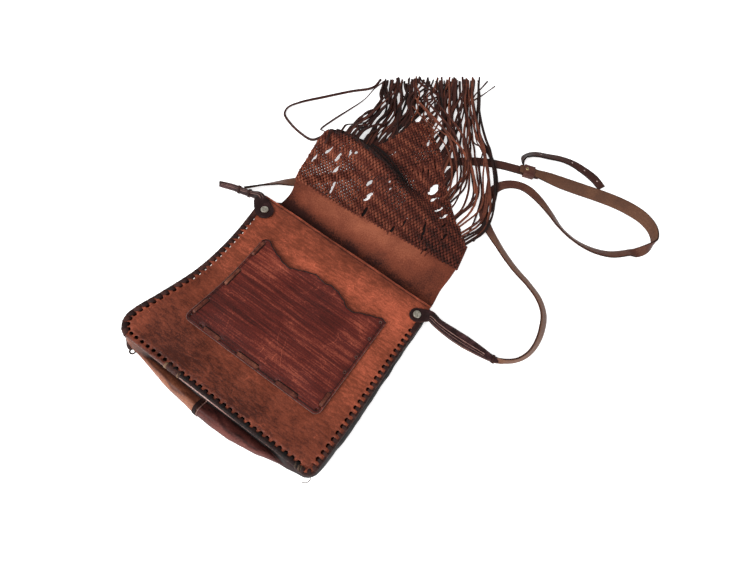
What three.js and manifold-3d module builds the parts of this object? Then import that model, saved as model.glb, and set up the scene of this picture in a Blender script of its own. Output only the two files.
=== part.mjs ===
// Leather crossbody bag with a knotted, fringed flap, lying on its back with the flap thrown open.
// Millimetres. X runs across the bag, Y from its bottom to its mouth and on along the flap,
// Z up out of the front panel.
// The origin is on the underside of the back panel, where the bag rests on the floor.

import * as THREE from 'three';
import { mergeVertices } from 'three/addons/utils/BufferGeometryUtils.js';
import Module from 'manifold-3d';

const wasm = await Module();
wasm.setup();

// Leather and clearances
const HIDE = 2.0;
const GUSSET_HIDE = 1.6;
const POCKET_HIDE = 1.8;
const NET_THICKNESS = 3.0;
const STRAP_THICKNESS = 2.4;
const GAP = 0.3;

// Body of the bag
const BOTTOM_Y = -114;
const MOUTH_Y = 114;
const LEFT_CORNER_RADIUS = 20;
const RIGHT_CORNER_RADIUS = 9;
const PANEL_LEAN = 0.012;
const PANEL_SAG = 2.0;
const PANEL_COLUMNS = 14;
const LACING_MARGIN = 4;
const SEAM_X = -12;
const SEAM_GAP = 0.4;

// Edges of the front panel and the height of its upper face, at stations up the bag
const PANEL_STATIONS = [
  { y: -114, left: -131, right: 119, height: 38.0 },
  { y: -90, left: -131, right: 120, height: 36.0 },
  { y: -60, left: -124, right: 121, height: 33.0 },
  { y: -15, left: -115.5, right: 121, height: 28.5 },
  { y: 30, left: -115, right: 121, height: 24.0 },
  { y: 75, left: -120, right: 122, height: 19.5 },
  { y: 114, left: -127, right: 122, height: 16.5 },
];

// How far the gusset bulges out past the panel's edge, by the share of the way round it,
// from the left to the right end of the mouth
const GUSSET_STATIONS = [
  { way: 0.0, bulge: -3 },
  { way: 0.16, bulge: -9 },
  { way: 0.3, bulge: -2 },
  { way: 0.36, bulge: 8 },
  { way: 0.47, bulge: 18 },
  { way: 0.55, bulge: 18 },
  { way: 0.62, bulge: 10 },
  { way: 0.67, bulge: 4 },
  { way: 0.75, bulge: 6 },
  { way: 0.9, bulge: 4.5 },
  { way: 1.0, bulge: 3 },
];
const GUSSET_STEPS = 40;
const GUSSET_BEND_STEPS = 6;

// Patch pocket: height of its natural upper edge across its width
const POCKET_BOTTOM_Y = -65.5;
const POCKET_LEFT_X = -85.5;
const POCKET_RIGHT_X = 90.5;
const POCKET_CORNER_RADIUS = 7;
const POCKET_EDGE = [
  { x: -85.5, y: 58 },
  { x: -82, y: 64 },
  { x: -64, y: 57 },
  { x: -48, y: 51 },
  { x: -36, y: 50.5 },
  { x: -22, y: 56.5 },
  { x: -8, y: 62 },
  { x: 5, y: 59 },
  { x: 16, y: 62 },
  { x: 32, y: 57 },
  { x: 50, y: 49.5 },
  { x: 68, y: 57.5 },
  { x: 85, y: 63.5 },
  { x: 90.5, y: 62.5 },
];

// Flap: its left and right ends at stations from the mouth to the line where the net begins
const FLAP_STATIONS = [
  { way: 0.0, leftX: -112, leftY: 124, rightX: 122, rightY: 124, lift: 0.0 },
  { way: 0.35, leftX: -109, leftY: 138, rightX: 120, rightY: 145, lift: 1.6 },
  { way: 0.7, leftX: -113, leftY: 152, rightX: 122, rightY: 167, lift: 1.8 },
  { way: 1.0, leftX: -118, leftY: 163, rightX: 124, rightY: 186, lift: 0.6 },
];

// Net: its far edge, by the share of the way across, with the fringe's end for that place
const NET_EDGE = [
  { way: 0.0, x: -128, y: 250, endX: -138, endY: 387 },
  { way: 0.12, x: -105, y: 262, endX: -127, endY: 396 },
  { way: 0.24, x: -76, y: 272, endX: -118, endY: 404 },
  { way: 0.34, x: -60, y: 304, endX: -106, endY: 414 },
  { way: 0.44, x: -46, y: 358, endX: -96, endY: 424 },
  { way: 0.5, x: -28, y: 360, endX: -84, endY: 434 },
  { way: 0.6, x: 10, y: 324, endX: -68, endY: 448 },
  { way: 0.75, x: 50, y: 277, endX: -46, endY: 466 },
  { way: 0.88, x: 90, y: 243, endX: -26, endY: 482 },
  { way: 1.0, x: 118, y: 222, endX: -6, endY: 494 },
];
const NET_ROWS = 13;
const NET_COLUMNS = 21;
const NET_REST = 0.5;
const NET_LEFT_BULGE = 6;
const RIDGE_SPREAD_FRONT = 28;
const RIDGE_SPREAD_BACK = 13;
const RIDGE_STATIONS = [
  { x: -140, y: 240, height: 17 },
  { x: -85, y: 252, height: 20 },
  { x: -30, y: 242, height: 19 },
  { x: 10, y: 230, height: 14 },
  { x: 60, y: 220, height: 7 },
  { x: 125, y: 210, height: 2 },
];
const LOBE = { x: -20, y: 320, spread: 30, height: 5 };

// Slits of the net, in columns from the flap to the far edge, every other column set half a step on
const SLIT_COLUMNS = 11;
const SLIT_STEP = 24;
const SLIT_LENGTH = 18;
const SLIT_WIDTH = 5;
const SLIT_MARGIN = 11;

// Fringe
const THONGS = 30;
const THONG_WIDTH = 3.6;
const THONG_THICKNESS = 1.8;
const THONG_STEPS = 11;
const THONG_REST = 0.4;
const FRINGE_BAND = 6;
const FRINGE_SWEEP = new THREE.Vector2(-0.62, 0.78);
const THONG_SWAY = 4;

// Strap bases: from the round tab on the panel's corner to the tied end on the floor
const TAB_RADIUS = 11;
const TAB_THICKNESS = 2.2;
const BASE_ROWS = {
  left: [
    { x: -129, y: 104.5, rise: 4.0, width: 13, thickness: 3.2, tilt: 10 },
    { x: -140, y: 106, z: 15.5, width: 8.5, thickness: 6.0, tilt: 25 },
    { x: -156, y: 104.5, z: 10.0, width: 8, thickness: 6.0, tilt: 40 },
    { x: -173, y: 102, z: 6.8, width: 8, thickness: 5.0, tilt: 50 },
    { x: -190, y: 96.5, z: 5.2, width: 7.5, thickness: 4.0, tilt: 50 },
  ],
  right: [
    { x: 127, y: 101, rise: 3.6, width: 13, thickness: 3.2, tilt: 0 },
    { x: 140, y: 101.5, z: 12.5, width: 12, thickness: 6.0, tilt: 0 },
    { x: 160, y: 102.5, z: 8.5, width: 15, thickness: 6.0, tilt: 0 },
    { x: 178, y: 104, z: 6.0, width: 15.5, thickness: 6.0, tilt: 0 },
    { x: 196, y: 105.5, z: 4.2, width: 12.5, thickness: 5.5, tilt: 0 },
    { x: 209, y: 106.5, z: 3.2, width: 9.5, thickness: 5.0, tilt: 0 },
    { x: 216, y: 107.5, z: 2.6, width: 6.5, thickness: 4.0, tilt: 0 },
  ],
};

// Rivets through tab and panel
const RIVETS = {
  left: { x: -112, y: 94 },
  right: { x: 113.5, y: 93 },
};
const RIVET_HEAD_RADIUS = 4.8;
const RIVET_HEAD_HEIGHT = 1.9;
const RIVET_SHANK_RADIUS = 1.6;
const RIVET_BACK_RADIUS = 3.0;
const RIVET_BACK_HEIGHT = 1.0;
const RIVET_SIDES = 12;
const RIVET_HOLE_DEPTH = 24;

// Strap lying on the floor: middle line, width, tilt about its run (0 flat, 90 on edge)
// and lift off the floor
const STRAP_LONG = [
  { x: -161, y: 110.5, width: 10, tilt: 62, lift: 1.5 },
  { x: -147, y: 127, width: 12, tilt: 54, lift: 1.5 },
  { x: -133, y: 143.5, width: 13, tilt: 40, lift: 0.5 },
  { x: -121, y: 158, width: 13, tilt: 6, lift: 0 },
  { x: -97, y: 185, width: 13, tilt: 0, lift: 0 },
  { x: -64, y: 221, width: 13, tilt: 0, lift: 0 },
  { x: -29, y: 259, width: 13, tilt: 0, lift: 0 },
  { x: 3, y: 297, width: 13, tilt: 0, lift: 0 },
  { x: 35, y: 329, width: 13, tilt: 0, lift: 0 },
  { x: 59, y: 349, width: 14, tilt: 0, lift: 0 },
  { x: 85, y: 364, width: 14, tilt: 0, lift: 0 },
  { x: 113, y: 373.6, width: 14, tilt: 0, lift: 1.8 },
  { x: 128, y: 378.5, width: 14, tilt: 0, lift: 1.8 },
  { x: 142, y: 383, width: 13, tilt: 0, lift: 1.8 },
];
const STRAP_MAIN = [
  { x: 115, y: 374.2, width: 14, tilt: 0, lift: 4.9 },
  { x: 128, y: 378.5, width: 14, tilt: 0, lift: 4.9 },
  { x: 141, y: 382.7, width: 14, tilt: 0, lift: 4.9 },
  { x: 156, y: 387, width: 16, tilt: -14, lift: 2.6 },
  { x: 175, y: 391, width: 17, tilt: -28, lift: 0.6 },
  { x: 200, y: 397, width: 17, tilt: -38, lift: 0.2 },
  { x: 229, y: 405, width: 17, tilt: -40, lift: 0 },
  { x: 252, y: 410, width: 17, tilt: -42, lift: 0 },
  { x: 274, y: 412, width: 17, tilt: -44, lift: 0 },
  { x: 296, y: 409, width: 16, tilt: -58, lift: 0 },
  { x: 313, y: 399, width: 15, tilt: -74, lift: 0 },
  { x: 321, y: 383, width: 14, tilt: -90, lift: 0 },
  { x: 314, y: 363, width: 13, tilt: -150, lift: 0 },
  { x: 297, y: 345, width: 13, tilt: -212, lift: 0 },
  { x: 278, y: 328, width: 13, tilt: -205, lift: 0 },
  { x: 254, y: 318, width: 13, tilt: -210, lift: 0 },
  { x: 229, y: 316, width: 13, tilt: -220, lift: 0 },
  { x: 205, y: 322, width: 13, tilt: -220, lift: 0 },
  { x: 183, y: 335, width: 13, tilt: -206, lift: 0 },
  { x: 163, y: 346, width: 13, tilt: -190, lift: 0 },
  { x: 147, y: 352, width: 13, tilt: -178, lift: 0 },
  { x: 130, y: 352, width: 13, tilt: -180, lift: 0 },
  { x: 114, y: 343, width: 13, tilt: -180, lift: 0 },
  { x: 104, y: 328, width: 13, tilt: -180, lift: 0 },
  { x: 101, y: 307, width: 13, tilt: -180, lift: 0 },
  { x: 105, y: 286, width: 13, tilt: -180, lift: 0 },
  { x: 119, y: 266, width: 13, tilt: -176, lift: 0 },
  { x: 150, y: 244, width: 13, tilt: -152, lift: 0 },
  { x: 181, y: 228, width: 13, tilt: -150, lift: 0 },
  { x: 206, y: 219, width: 13, tilt: -146, lift: 0 },
  { x: 226, y: 209, width: 13, tilt: -146, lift: 0 },
  { x: 240, y: 194, width: 13, tilt: -138, lift: 0 },
  { x: 247, y: 174, width: 13, tilt: -125, lift: 0 },
  { x: 249, y: 153, width: 13, tilt: -112, lift: 0 },
  { x: 246, y: 135, width: 12, tilt: -98, lift: 0 },
  { x: 238, y: 121, width: 10, tilt: -94, lift: 0 },
  { x: 227, y: 112, width: 8, tilt: -110, lift: 0.2 },
  { x: 217.6, y: 107.2, width: 6, tilt: -186, lift: 0.8 },
];
const STRAP_TAIL = [
  { x: 115.2, y: 385, width: 10, tilt: -56, lift: 0.5 },
  { x: 112, y: 399, width: 13, tilt: -112, lift: 0.2 },
  { x: 121, y: 414, width: 13, tilt: -150, lift: 0 },
  { x: 139, y: 424, width: 13, tilt: -155, lift: 0 },
  { x: 160, y: 434, width: 13, tilt: -153, lift: 0 },
  { x: 183, y: 438, width: 13, tilt: -176, lift: 0 },
  { x: 210, y: 433, width: 13, tilt: -188, lift: 0 },
  { x: 227, y: 425, width: 12, tilt: -184, lift: 0 },
];
const STRAP_STEP = 15;
const STEEPEST_COVERED = 0.3;

// Joint of the strap: a leather keeper round both ends, with a small rivet
const JOINT = { x: 128, y: 378.5, turn: 18 };
const KEEPER = { length: 15, width: 18.4, height: 9.2, wall: 1.5, floor: 0.3 };
const STRAP_RIVET = { headRadius: 2.6, headHeight: 1.2, shankRadius: 1.1, offset: -4, depth: 6.4 };

/** Value between a and b. */
const mix = (a, b, share) => a + (b - a) * share;

/** Smooth step from 0 to 1 while value goes from low to high. */
const ease = (value, low, high) => THREE.MathUtils.smoothstep(value, low, high);

/** Smooth curve through one column of a table, as a function of its key column. */
function columnOf(table, key, name) {
  const slopes = table.map((row, i) => {
    const before = table[Math.max(i - 1, 0)];
    const after = table[Math.min(i + 1, table.length - 1)];
    return (after[name] - before[name]) / (after[key] - before[key]);
  });
  return (value) => {
    const last = table.length - 2;
    const found = table.findIndex((row, i) => i > 0 && value <= row[key]);
    const i = found < 0 ? last : Math.min(found - 1, last);
    const span = table[i + 1][key] - table[i][key];
    const t = THREE.MathUtils.clamp((value - table[i][key]) / span, 0, 1);
    const bent = t * t * (3 - 2 * t);
    const start = slopes[i] * span * t * (1 - t) * (1 - t);
    const end = slopes[i + 1] * span * t * t * (t - 1);
    return mix(table[i][name], table[i + 1][name], bent) + start + end;
  };
}

/** Geometry from points and triangles, turned so that its faces point out. */
function closedGeometry(points, triangles) {
  let volume = 0;
  for (let i = 0; i < triangles.length; i += 3) {
    const [a, b, c] = [points[triangles[i]], points[triangles[i + 1]], points[triangles[i + 2]]];
    volume += a.dot(b.clone().cross(c));
  }
  const index = volume < 0 ? triangles.reverse() : triangles;
  const geometry = new THREE.BufferGeometry().setFromPoints(points);
  geometry.setIndex(index);
  return geometry;
}

/** Closed sheet between two equal grids of points. */
function sheetSolid(upper, lower) {
  const rows = upper.length;
  const columns = upper[0].length;
  const top = (r, c) => r * columns + c;
  const low = (r, c) => (rows + r) * columns + c;
  const triangles = [];
  const quad = (a, b, c, d) => triangles.push(a, b, c, a, c, d);
  for (let r = 0; r < rows - 1; r++) {
    for (let c = 0; c < columns - 1; c++) {
      quad(top(r, c), top(r, c + 1), top(r + 1, c + 1), top(r + 1, c));
      quad(low(r, c), low(r + 1, c), low(r + 1, c + 1), low(r, c + 1));
    }
    quad(low(r + 1, 0), low(r, 0), top(r, 0), top(r + 1, 0));
    quad(low(r, columns - 1), low(r + 1, columns - 1), top(r + 1, columns - 1), top(r, columns - 1));
  }
  for (let c = 0; c < columns - 1; c++) {
    quad(low(0, c), low(0, c + 1), top(0, c + 1), top(0, c));
    quad(top(rows - 1, c), top(rows - 1, c + 1), low(rows - 1, c + 1), low(rows - 1, c));
  }
  return closedGeometry([...upper.flat(), ...lower.flat()], triangles);
}

/** Closed solid through rings of equally many points. */
function loftSolid(rings) {
  const sides = rings[0].length;
  const triangles = [];
  for (let r = 0; r < rings.length - 1; r++) {
    for (let s = 0; s < sides; s++) {
      const next = (s + 1) % sides;
      const [a, b] = [r * sides + s, r * sides + next];
      triangles.push(a, b, b + sides, a, b + sides, a + sides);
    }
  }
  const lastRing = (rings.length - 1) * sides;
  for (let s = 1; s < sides - 1; s++) {
    triangles.push(0, s + 1, s, lastRing, lastRing + s, lastRing + s + 1);
  }
  return closedGeometry(rings.flat(), triangles);
}

/** Section of a strap: a flat band with its corners taken off. */
function bandSection(width, thickness) {
  const [w, t] = [width / 2, thickness / 2];
  const corner = Math.min(w, t) * 0.5;
  return [
    [w, t - corner], [w - corner, t], [corner - w, t], [-w, t - corner],
    [-w, corner - t], [corner - w, -t], [w - corner, -t], [w, corner - t],
  ];
}

/** Section of a thong: a plain flat band. */
function thongSection(width, thickness) {
  const [w, t] = [width / 2, thickness / 2];
  return [[w, t], [-w, t], [-w, -t], [w, -t]];
}

/** Rings of a band that follows rows of x, y, z, width, thickness and tilt. */
function bandRings(rows, section) {
  return rows.map((row, i) => {
    const before = rows[Math.max(i - 1, 0)];
    const after = rows[Math.min(i + 1, rows.length - 1)];
    const along = new THREE.Vector3(after.x - before.x, after.y - before.y, after.z - before.z).normalize();
    const side = new THREE.Vector3(along.y, -along.x, 0).normalize();
    const up = new THREE.Vector3().crossVectors(side, along);
    const tilt = THREE.MathUtils.degToRad(row.tilt);
    const across = side.clone().multiplyScalar(Math.cos(tilt)).addScaledVector(up, Math.sin(tilt));
    const through = up.clone().multiplyScalar(Math.cos(tilt)).addScaledVector(side, -Math.sin(tilt));
    const centre = new THREE.Vector3(row.x, row.y, row.z);
    return section(row.width, row.thickness).map(([a, b]) => (
      centre.clone().addScaledVector(across, a).addScaledVector(through, b)
    ));
  });
}

/** Height of a band's middle line when its lowest edge rests on the floor. */
function restHeight(width, tilt) {
  const angle = THREE.MathUtils.degToRad(tilt);
  return GAP + Math.abs(Math.sin(angle)) * width / 2 + Math.abs(Math.cos(angle)) * STRAP_THICKNESS / 2;
}

/** Rows of a strap at even steps along the smooth curve through its table. */
function strapRows(table) {
  const curve = new THREE.CatmullRomCurve3(table.map((row) => new THREE.Vector3(row.x, row.y, 0)));
  const looks = table.map((row) => new THREE.Vector3(row.width, row.tilt, row.lift));
  const look = new THREE.CatmullRomCurve3(looks);
  const steps = Math.round(curve.getLength() / STRAP_STEP);
  return Array.from({ length: steps + 1 }, (unused, i) => {
    const t = curve.getUtoTmapping(i / steps);
    const { x, y } = curve.getPoint(t);
    const { x: width, y: tilt, z: lift } = look.getPoint(t);
    return { x, y, z: restHeight(width, tilt) + Math.max(lift, 0), width, thickness: STRAP_THICKNESS, tilt };
  });
}

const longRows = strapRows(STRAP_LONG);
const mainRows = strapRows(STRAP_MAIN);
const tailRows = strapRows(STRAP_TAIL);
const lowRows = [...longRows, ...mainRows]
  .map((row) => ({ ...row, slope: Math.abs(Math.sin(THREE.MathUtils.degToRad(row.tilt))) }))
  .filter((row) => row.slope < STEEPEST_COVERED);

/** Solid for joining and cutting. */
function toManifold(geometry) {
  const bare = geometry.clone();
  bare.deleteAttribute('normal');
  bare.deleteAttribute('uv');
  const merged = mergeVertices(bare, 1e-4);
  return new wasm.Manifold(new wasm.Mesh({
    numProp: 3,
    vertProperties: Float32Array.from(merged.attributes.position.array),
    triVerts: Uint32Array.from(merged.index.array),
  }));
}

/** Geometry of a joined or cut solid. */
function toGeometry(solid) {
  const mesh = solid.getMesh();
  const geometry = new THREE.BufferGeometry();
  geometry.setAttribute('position', new THREE.BufferAttribute(mesh.vertProperties, 3));
  geometry.setIndex(new THREE.BufferAttribute(mesh.triVerts, 1));
  return geometry;
}

const panelLeft = columnOf(PANEL_STATIONS, 'y', 'left');
const panelRight = columnOf(PANEL_STATIONS, 'y', 'right');
const panelHeight = columnOf(PANEL_STATIONS, 'y', 'height');

/** How far a rounded corner of the given radius draws the panel's edge in at height y. */
function cornerInset(y, radius) {
  const below = Math.max(0, BOTTOM_Y + radius - y);
  return radius - Math.sqrt(Math.max(0, radius * radius - below * below));
}

/** Left and right edge of the panel at y, with its lower corners rounded. */
function panelSpan(y) {
  return [
    panelLeft(y) + cornerInset(y, LEFT_CORNER_RADIUS),
    panelRight(y) - cornerInset(y, RIGHT_CORNER_RADIUS),
  ];
}

/** Height of the front panel's upper face. */
function frontTop(x, y) {
  const across = THREE.MathUtils.clamp(x / 125, -1, 1);
  const along = THREE.MathUtils.clamp((y - BOTTOM_Y) / (MOUTH_Y - BOTTOM_Y), 0, 1);
  const sag = PANEL_SAG * (1 - across * across) * Math.sin(Math.PI * along);
  return panelHeight(y) - PANEL_LEAN * x - sag;
}

/** Rows of y up the body, closer together round the lower corners. */
function bodyRows() {
  const corner = [0, 0.7, 2.5, 6, 11, 20].map((rise) => BOTTOM_Y + rise);
  const rest = Array.from({ length: 9 }, (unused, i) => mix(BOTTOM_Y + 42, MOUTH_Y, i / 8));
  return [...corner, ...rest];
}

/** Grid of points over the body, with the height given by a function of x and y. */
function bodyGrid(columns, height) {
  return bodyRows().map((y) => {
    const [left, right] = panelSpan(y);
    return Array.from({ length: columns }, (unused, c) => {
      const x = mix(left, right, c / (columns - 1));
      return new THREE.Vector3(x, y, height(x, y));
    });
  });
}

/** Height that lies clear over the straps at x and y, and falls back to the height given beside them. */
function overStraps(x, y, height) {
  return lowRows.reduce((lifted, row) => {
    const distance = Math.hypot(x - row.x, y - row.y);
    const top = row.z + (STRAP_THICKNESS + row.slope * row.width) / 2 + 2 * GAP + 0.3;
    const reach = row.width / 2 + STRAP_STEP / 2 + 5;
    return Math.max(lifted, mix(top, height, ease(distance, reach, reach + 14)));
  }, height);
}

// Front panel and rivets

/** Unit vector square to the front panel. */
function panelNormal(x, y) {
  const step = 1;
  const slopeX = (frontTop(x + step, y) - frontTop(x - step, y)) / (2 * step);
  const slopeY = (frontTop(x, y + step) - frontTop(x, y - step)) / (2 * step);
  return new THREE.Vector3(-slopeX, -slopeY, 1).normalize();
}

/** Places a geometry made along +Z on the front panel at x and y. */
function seatOnPanel(geometry, { x, y }) {
  const turn = new THREE.Quaternion().setFromUnitVectors(new THREE.Vector3(0, 0, 1), panelNormal(x, y));
  return geometry.applyQuaternion(turn).translate(x, y, frontTop(x, y));
}

/** Hole for a rivet's shank through tab and panel. */
function rivetHole(place) {
  const radius = RIVET_SHANK_RADIUS + GAP;
  const hole = new THREE.CylinderGeometry(radius, radius, RIVET_HOLE_DEPTH, RIVET_SIDES);
  return toManifold(seatOnPanel(hole.rotateX(Math.PI / 2), place));
}

/** Front panel with its rivet holes. */
function frontPanel() {
  const upper = bodyGrid(PANEL_COLUMNS, frontTop);
  const lower = bodyGrid(PANEL_COLUMNS, (x, y) => frontTop(x, y) - HIDE);
  let panel = toManifold(sheetSolid(upper, lower));
  for (const place of Object.values(RIVETS)) {
    panel = panel.subtract(rivetHole(place));
  }
  return toGeometry(panel);
}

/** Rivet with its head on the tab and a small cap under the panel. */
function rivet(place) {
  const seat = 2 * GAP + TAB_THICKNESS;
  const back = -HIDE - GAP;
  const profile = [
    [0, back - RIVET_BACK_HEIGHT], [RIVET_BACK_RADIUS, back - RIVET_BACK_HEIGHT], [RIVET_BACK_RADIUS, back],
    [RIVET_SHANK_RADIUS, back], [RIVET_SHANK_RADIUS, seat], [RIVET_HEAD_RADIUS, seat],
    [RIVET_HEAD_RADIUS, seat + 0.5], [RIVET_HEAD_RADIUS * 0.72, seat + RIVET_HEAD_HEIGHT * 0.82],
    [0, seat + RIVET_HEAD_HEIGHT],
  ];
  const geometry = new THREE.LatheGeometry(profile.map(([r, h]) => new THREE.Vector2(r, h)), RIVET_SIDES);
  return seatOnPanel(geometry.rotateX(Math.PI / 2), place);
}

// Back panel and flap, one hide
const flapLeftX = columnOf(FLAP_STATIONS, 'way', 'leftX');
const flapLeftY = columnOf(FLAP_STATIONS, 'way', 'leftY');
const flapRightX = columnOf(FLAP_STATIONS, 'way', 'rightX');
const flapRightY = columnOf(FLAP_STATIONS, 'way', 'rightY');
const flapLift = columnOf(FLAP_STATIONS, 'way', 'lift');

/** Point of the flap's underside, by the share across and the share from mouth to net. */
function flapPoint(across, way) {
  const x = mix(flapLeftX(way), flapRightX(way), across);
  const y = mix(flapLeftY(way), flapRightY(way), across);
  const wave = flapLift(way) * (0.6 + 0.4 * Math.cos(across * 3 * Math.PI));
  return new THREE.Vector3(x, y, overStraps(x, y, wave));
}

/** Back panel, flat on the floor, running on into the flap. */
function backFlapPanel() {
  const columns = PANEL_COLUMNS;
  const body = bodyGrid(columns, () => 0);
  const flap = [0, 0.2, 0.4, 0.6, 0.8, 1].map((way) => (
    Array.from({ length: columns }, (unused, c) => flapPoint(c / (columns - 1), way))
  ));
  const lower = [...body, ...flap];
  const upper = lower.map((row) => row.map((p) => new THREE.Vector3(p.x, p.y, p.z + HIDE)));
  return sheetSolid(upper, lower);
}

// Gusset
const gussetBulge = columnOf(GUSSET_STATIONS, 'way', 'bulge');

/** The panel's edge from the left end of the mouth, round the bottom, to its right end. */
function rimCurve() {
  const rim = new THREE.CurvePath();
  const sideRows = 14;
  const low = BOTTOM_Y;
  const leftStart = low + LEFT_CORNER_RADIUS;
  const rightStart = low + RIGHT_CORNER_RADIUS;
  const left = Array.from({ length: sideRows }, (unused, i) => {
    const y = mix(MOUTH_Y - 3, leftStart, i / (sideRows - 1));
    return new THREE.Vector2(panelLeft(y), y);
  });
  const right = Array.from({ length: sideRows }, (unused, i) => {
    const y = mix(rightStart, MOUTH_Y - 3, i / (sideRows - 1));
    return new THREE.Vector2(panelRight(y), y);
  });
  const leftCentre = panelLeft(leftStart) + LEFT_CORNER_RADIUS;
  const rightCentre = panelRight(rightStart) - RIGHT_CORNER_RADIUS;
  rim.add(new THREE.SplineCurve(left));
  rim.add(new THREE.EllipseCurve(
    leftCentre, leftStart, LEFT_CORNER_RADIUS, LEFT_CORNER_RADIUS, Math.PI, 1.5 * Math.PI, false));
  rim.add(new THREE.LineCurve(new THREE.Vector2(leftCentre, low), new THREE.Vector2(rightCentre, low)));
  rim.add(new THREE.EllipseCurve(
    rightCentre, rightStart, RIGHT_CORNER_RADIUS, RIGHT_CORNER_RADIUS, 1.5 * Math.PI, 2 * Math.PI, false));
  rim.add(new THREE.SplineCurve(right));
  return rim;
}

/** Middle line of the gusset's section: offset out from the rim, and height. */
function gussetSection(bulge, topAt, low) {
  const inner = -LACING_MARGIN;
  const fold = -1;
  const section = [[inner, topAt(inner)], [fold, topAt(fold)]];
  const fullness = bulge > 0 ? 1.1 : 2;
  for (let k = 1; k < GUSSET_BEND_STEPS; k++) {
    const turn = Math.PI * k / GUSSET_BEND_STEPS;
    const out = fold + (bulge - fold) * Math.sin(turn) ** fullness;
    section.push([out, mix(topAt(fold), low, (1 - Math.cos(turn)) / 2)]);
  }
  section.push([fold, low], [inner, low]);
  return section;
}

/** Section moved sideways by half the leather's thickness, to one side or the other. */
function offsetSection(section, distance) {
  return section.map(([out, z], k) => {
    const before = section[Math.max(k - 1, 0)];
    const after = section[Math.min(k + 1, section.length - 1)];
    const along = new THREE.Vector2(after[0] - before[0], after[1] - before[1]).normalize();
    return [out - along.y * distance, z + along.x * distance];
  });
}

/** One strip of the gusset between two shares of the way round the rim. */
function gussetStrip(from, to) {
  const rim = rimCurve();
  const steps = Math.round(GUSSET_STEPS * (to - from));
  const half = GUSSET_HIDE / 2;
  const [upper, lower] = [[], []];
  for (let i = 0; i <= steps; i++) {
    const way = mix(from, to, i / steps);
    const edge = rim.getPointAt(way);
    const ahead = rim.getPointAt(Math.min(way + 0.004, 1));
    const behind = rim.getPointAt(Math.max(way - 0.004, 0));
    const along = ahead.sub(behind).normalize();
    const out = new THREE.Vector2(along.y, -along.x);
    const place = ([offset, z]) => new THREE.Vector3(edge.x + out.x * offset, edge.y + out.y * offset, z);
    const topAt = (offset) => (
      frontTop(edge.x + out.x * offset, edge.y + out.y * offset) - HIDE - GAP - half - 0.15
    );
    const section = gussetSection(gussetBulge(way), topAt, HIDE + GAP + half);
    upper.push(offsetSection(section, half).map(place));
    lower.push(offsetSection(section, -half).map(place));
  }
  return sheetSolid(upper, lower);
}

/** Share of the way round the rim at which the bottom seam lies. */
function seamWay() {
  const rim = rimCurve();
  let [low, high] = [0.3, 0.7];
  for (let i = 0; i < 30; i++) {
    const middle = (low + high) / 2;
    if (rim.getPointAt(middle).x < SEAM_X) low = middle;
    else high = middle;
  }
  return { way: low, half: SEAM_GAP / 2 / rim.getLength() };
}

// Pocket
const pocketEdge = columnOf(POCKET_EDGE, 'x', 'y');

/** Patch pocket, lying on the front panel. */
function pocket() {
  const columns = 23;
  const rows = [0, 0.01, 0.03, 0.06, 0.3, 0.65, 1];
  const grid = (rise) => rows.map((way) => (
    Array.from({ length: columns }, (unused, c) => {
      const across = c / (columns - 1);
      const edge = pocketEdge(mix(POCKET_LEFT_X, POCKET_RIGHT_X, across));
      const y = mix(POCKET_BOTTOM_Y, edge, way);
      const below = Math.max(0, POCKET_BOTTOM_Y + POCKET_CORNER_RADIUS - y);
      const inset = POCKET_CORNER_RADIUS - Math.sqrt(POCKET_CORNER_RADIUS ** 2 - below ** 2);
      const x = mix(POCKET_LEFT_X + inset, POCKET_RIGHT_X - inset, across);
      return new THREE.Vector3(x, y, frontTop(x, y) + rise);
    })
  ));
  const rest = GAP + 0.1;
  return sheetSolid(grid(rest + POCKET_HIDE), grid(rest));
}

// Net
const netEdgeX = columnOf(NET_EDGE, 'way', 'x');
const netEdgeY = columnOf(NET_EDGE, 'way', 'y');
const ridgeHeight = columnOf(RIDGE_STATIONS, 'x', 'height');
const ridgeLine = columnOf(RIDGE_STATIONS, 'x', 'y');

/** Height of the net's underside. */
function netHeight(x, y) {
  const behind = y - ridgeLine(x);
  const spread = behind < 0 ? RIDGE_SPREAD_FRONT : RIDGE_SPREAD_BACK;
  const ridge = ridgeHeight(x) * Math.exp(-((behind / spread) ** 2));
  const lobe = LOBE.height * Math.exp(-((x - LOBE.x) ** 2 + (y - LOBE.y) ** 2) / LOBE.spread ** 2);
  return overStraps(x, y, NET_REST) + ridge + lobe;
}

/** Point of the net in plan, by the share across and the share from flap to far edge. */
function netPlan(across, way) {
  const start = flapPoint(across, 1);
  const gap = GAP * (1 - way);
  const bulge = NET_LEFT_BULGE * Math.sin(Math.PI * way) * (1 - across) ** 4;
  return new THREE.Vector2(
    mix(start.x, netEdgeX(across), way) - bulge,
    mix(start.y, netEdgeY(across), way) + gap,
  );
}

/** Prism that cuts one slit, long way along the net. */
function slitCutter(across, way) {
  const centre = netPlan(across, way);
  const ahead = netPlan(across, way + 0.02);
  const [l, w] = [SLIT_LENGTH / 2, SLIT_WIDTH / 2];
  const corners = [[l, 0], [0, w], [-l, 0], [0, -w]].map(([a, b]) => new THREE.Vector2(a, b));
  const depth = 80;
  const prism = new THREE.ExtrudeGeometry(new THREE.Shape(corners), { depth, bevelEnabled: false });
  prism.rotateZ(Math.atan2(ahead.y - centre.y, ahead.x - centre.x));
  return toManifold(prism.translate(centre.x, centre.y, -depth / 4));
}

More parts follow.
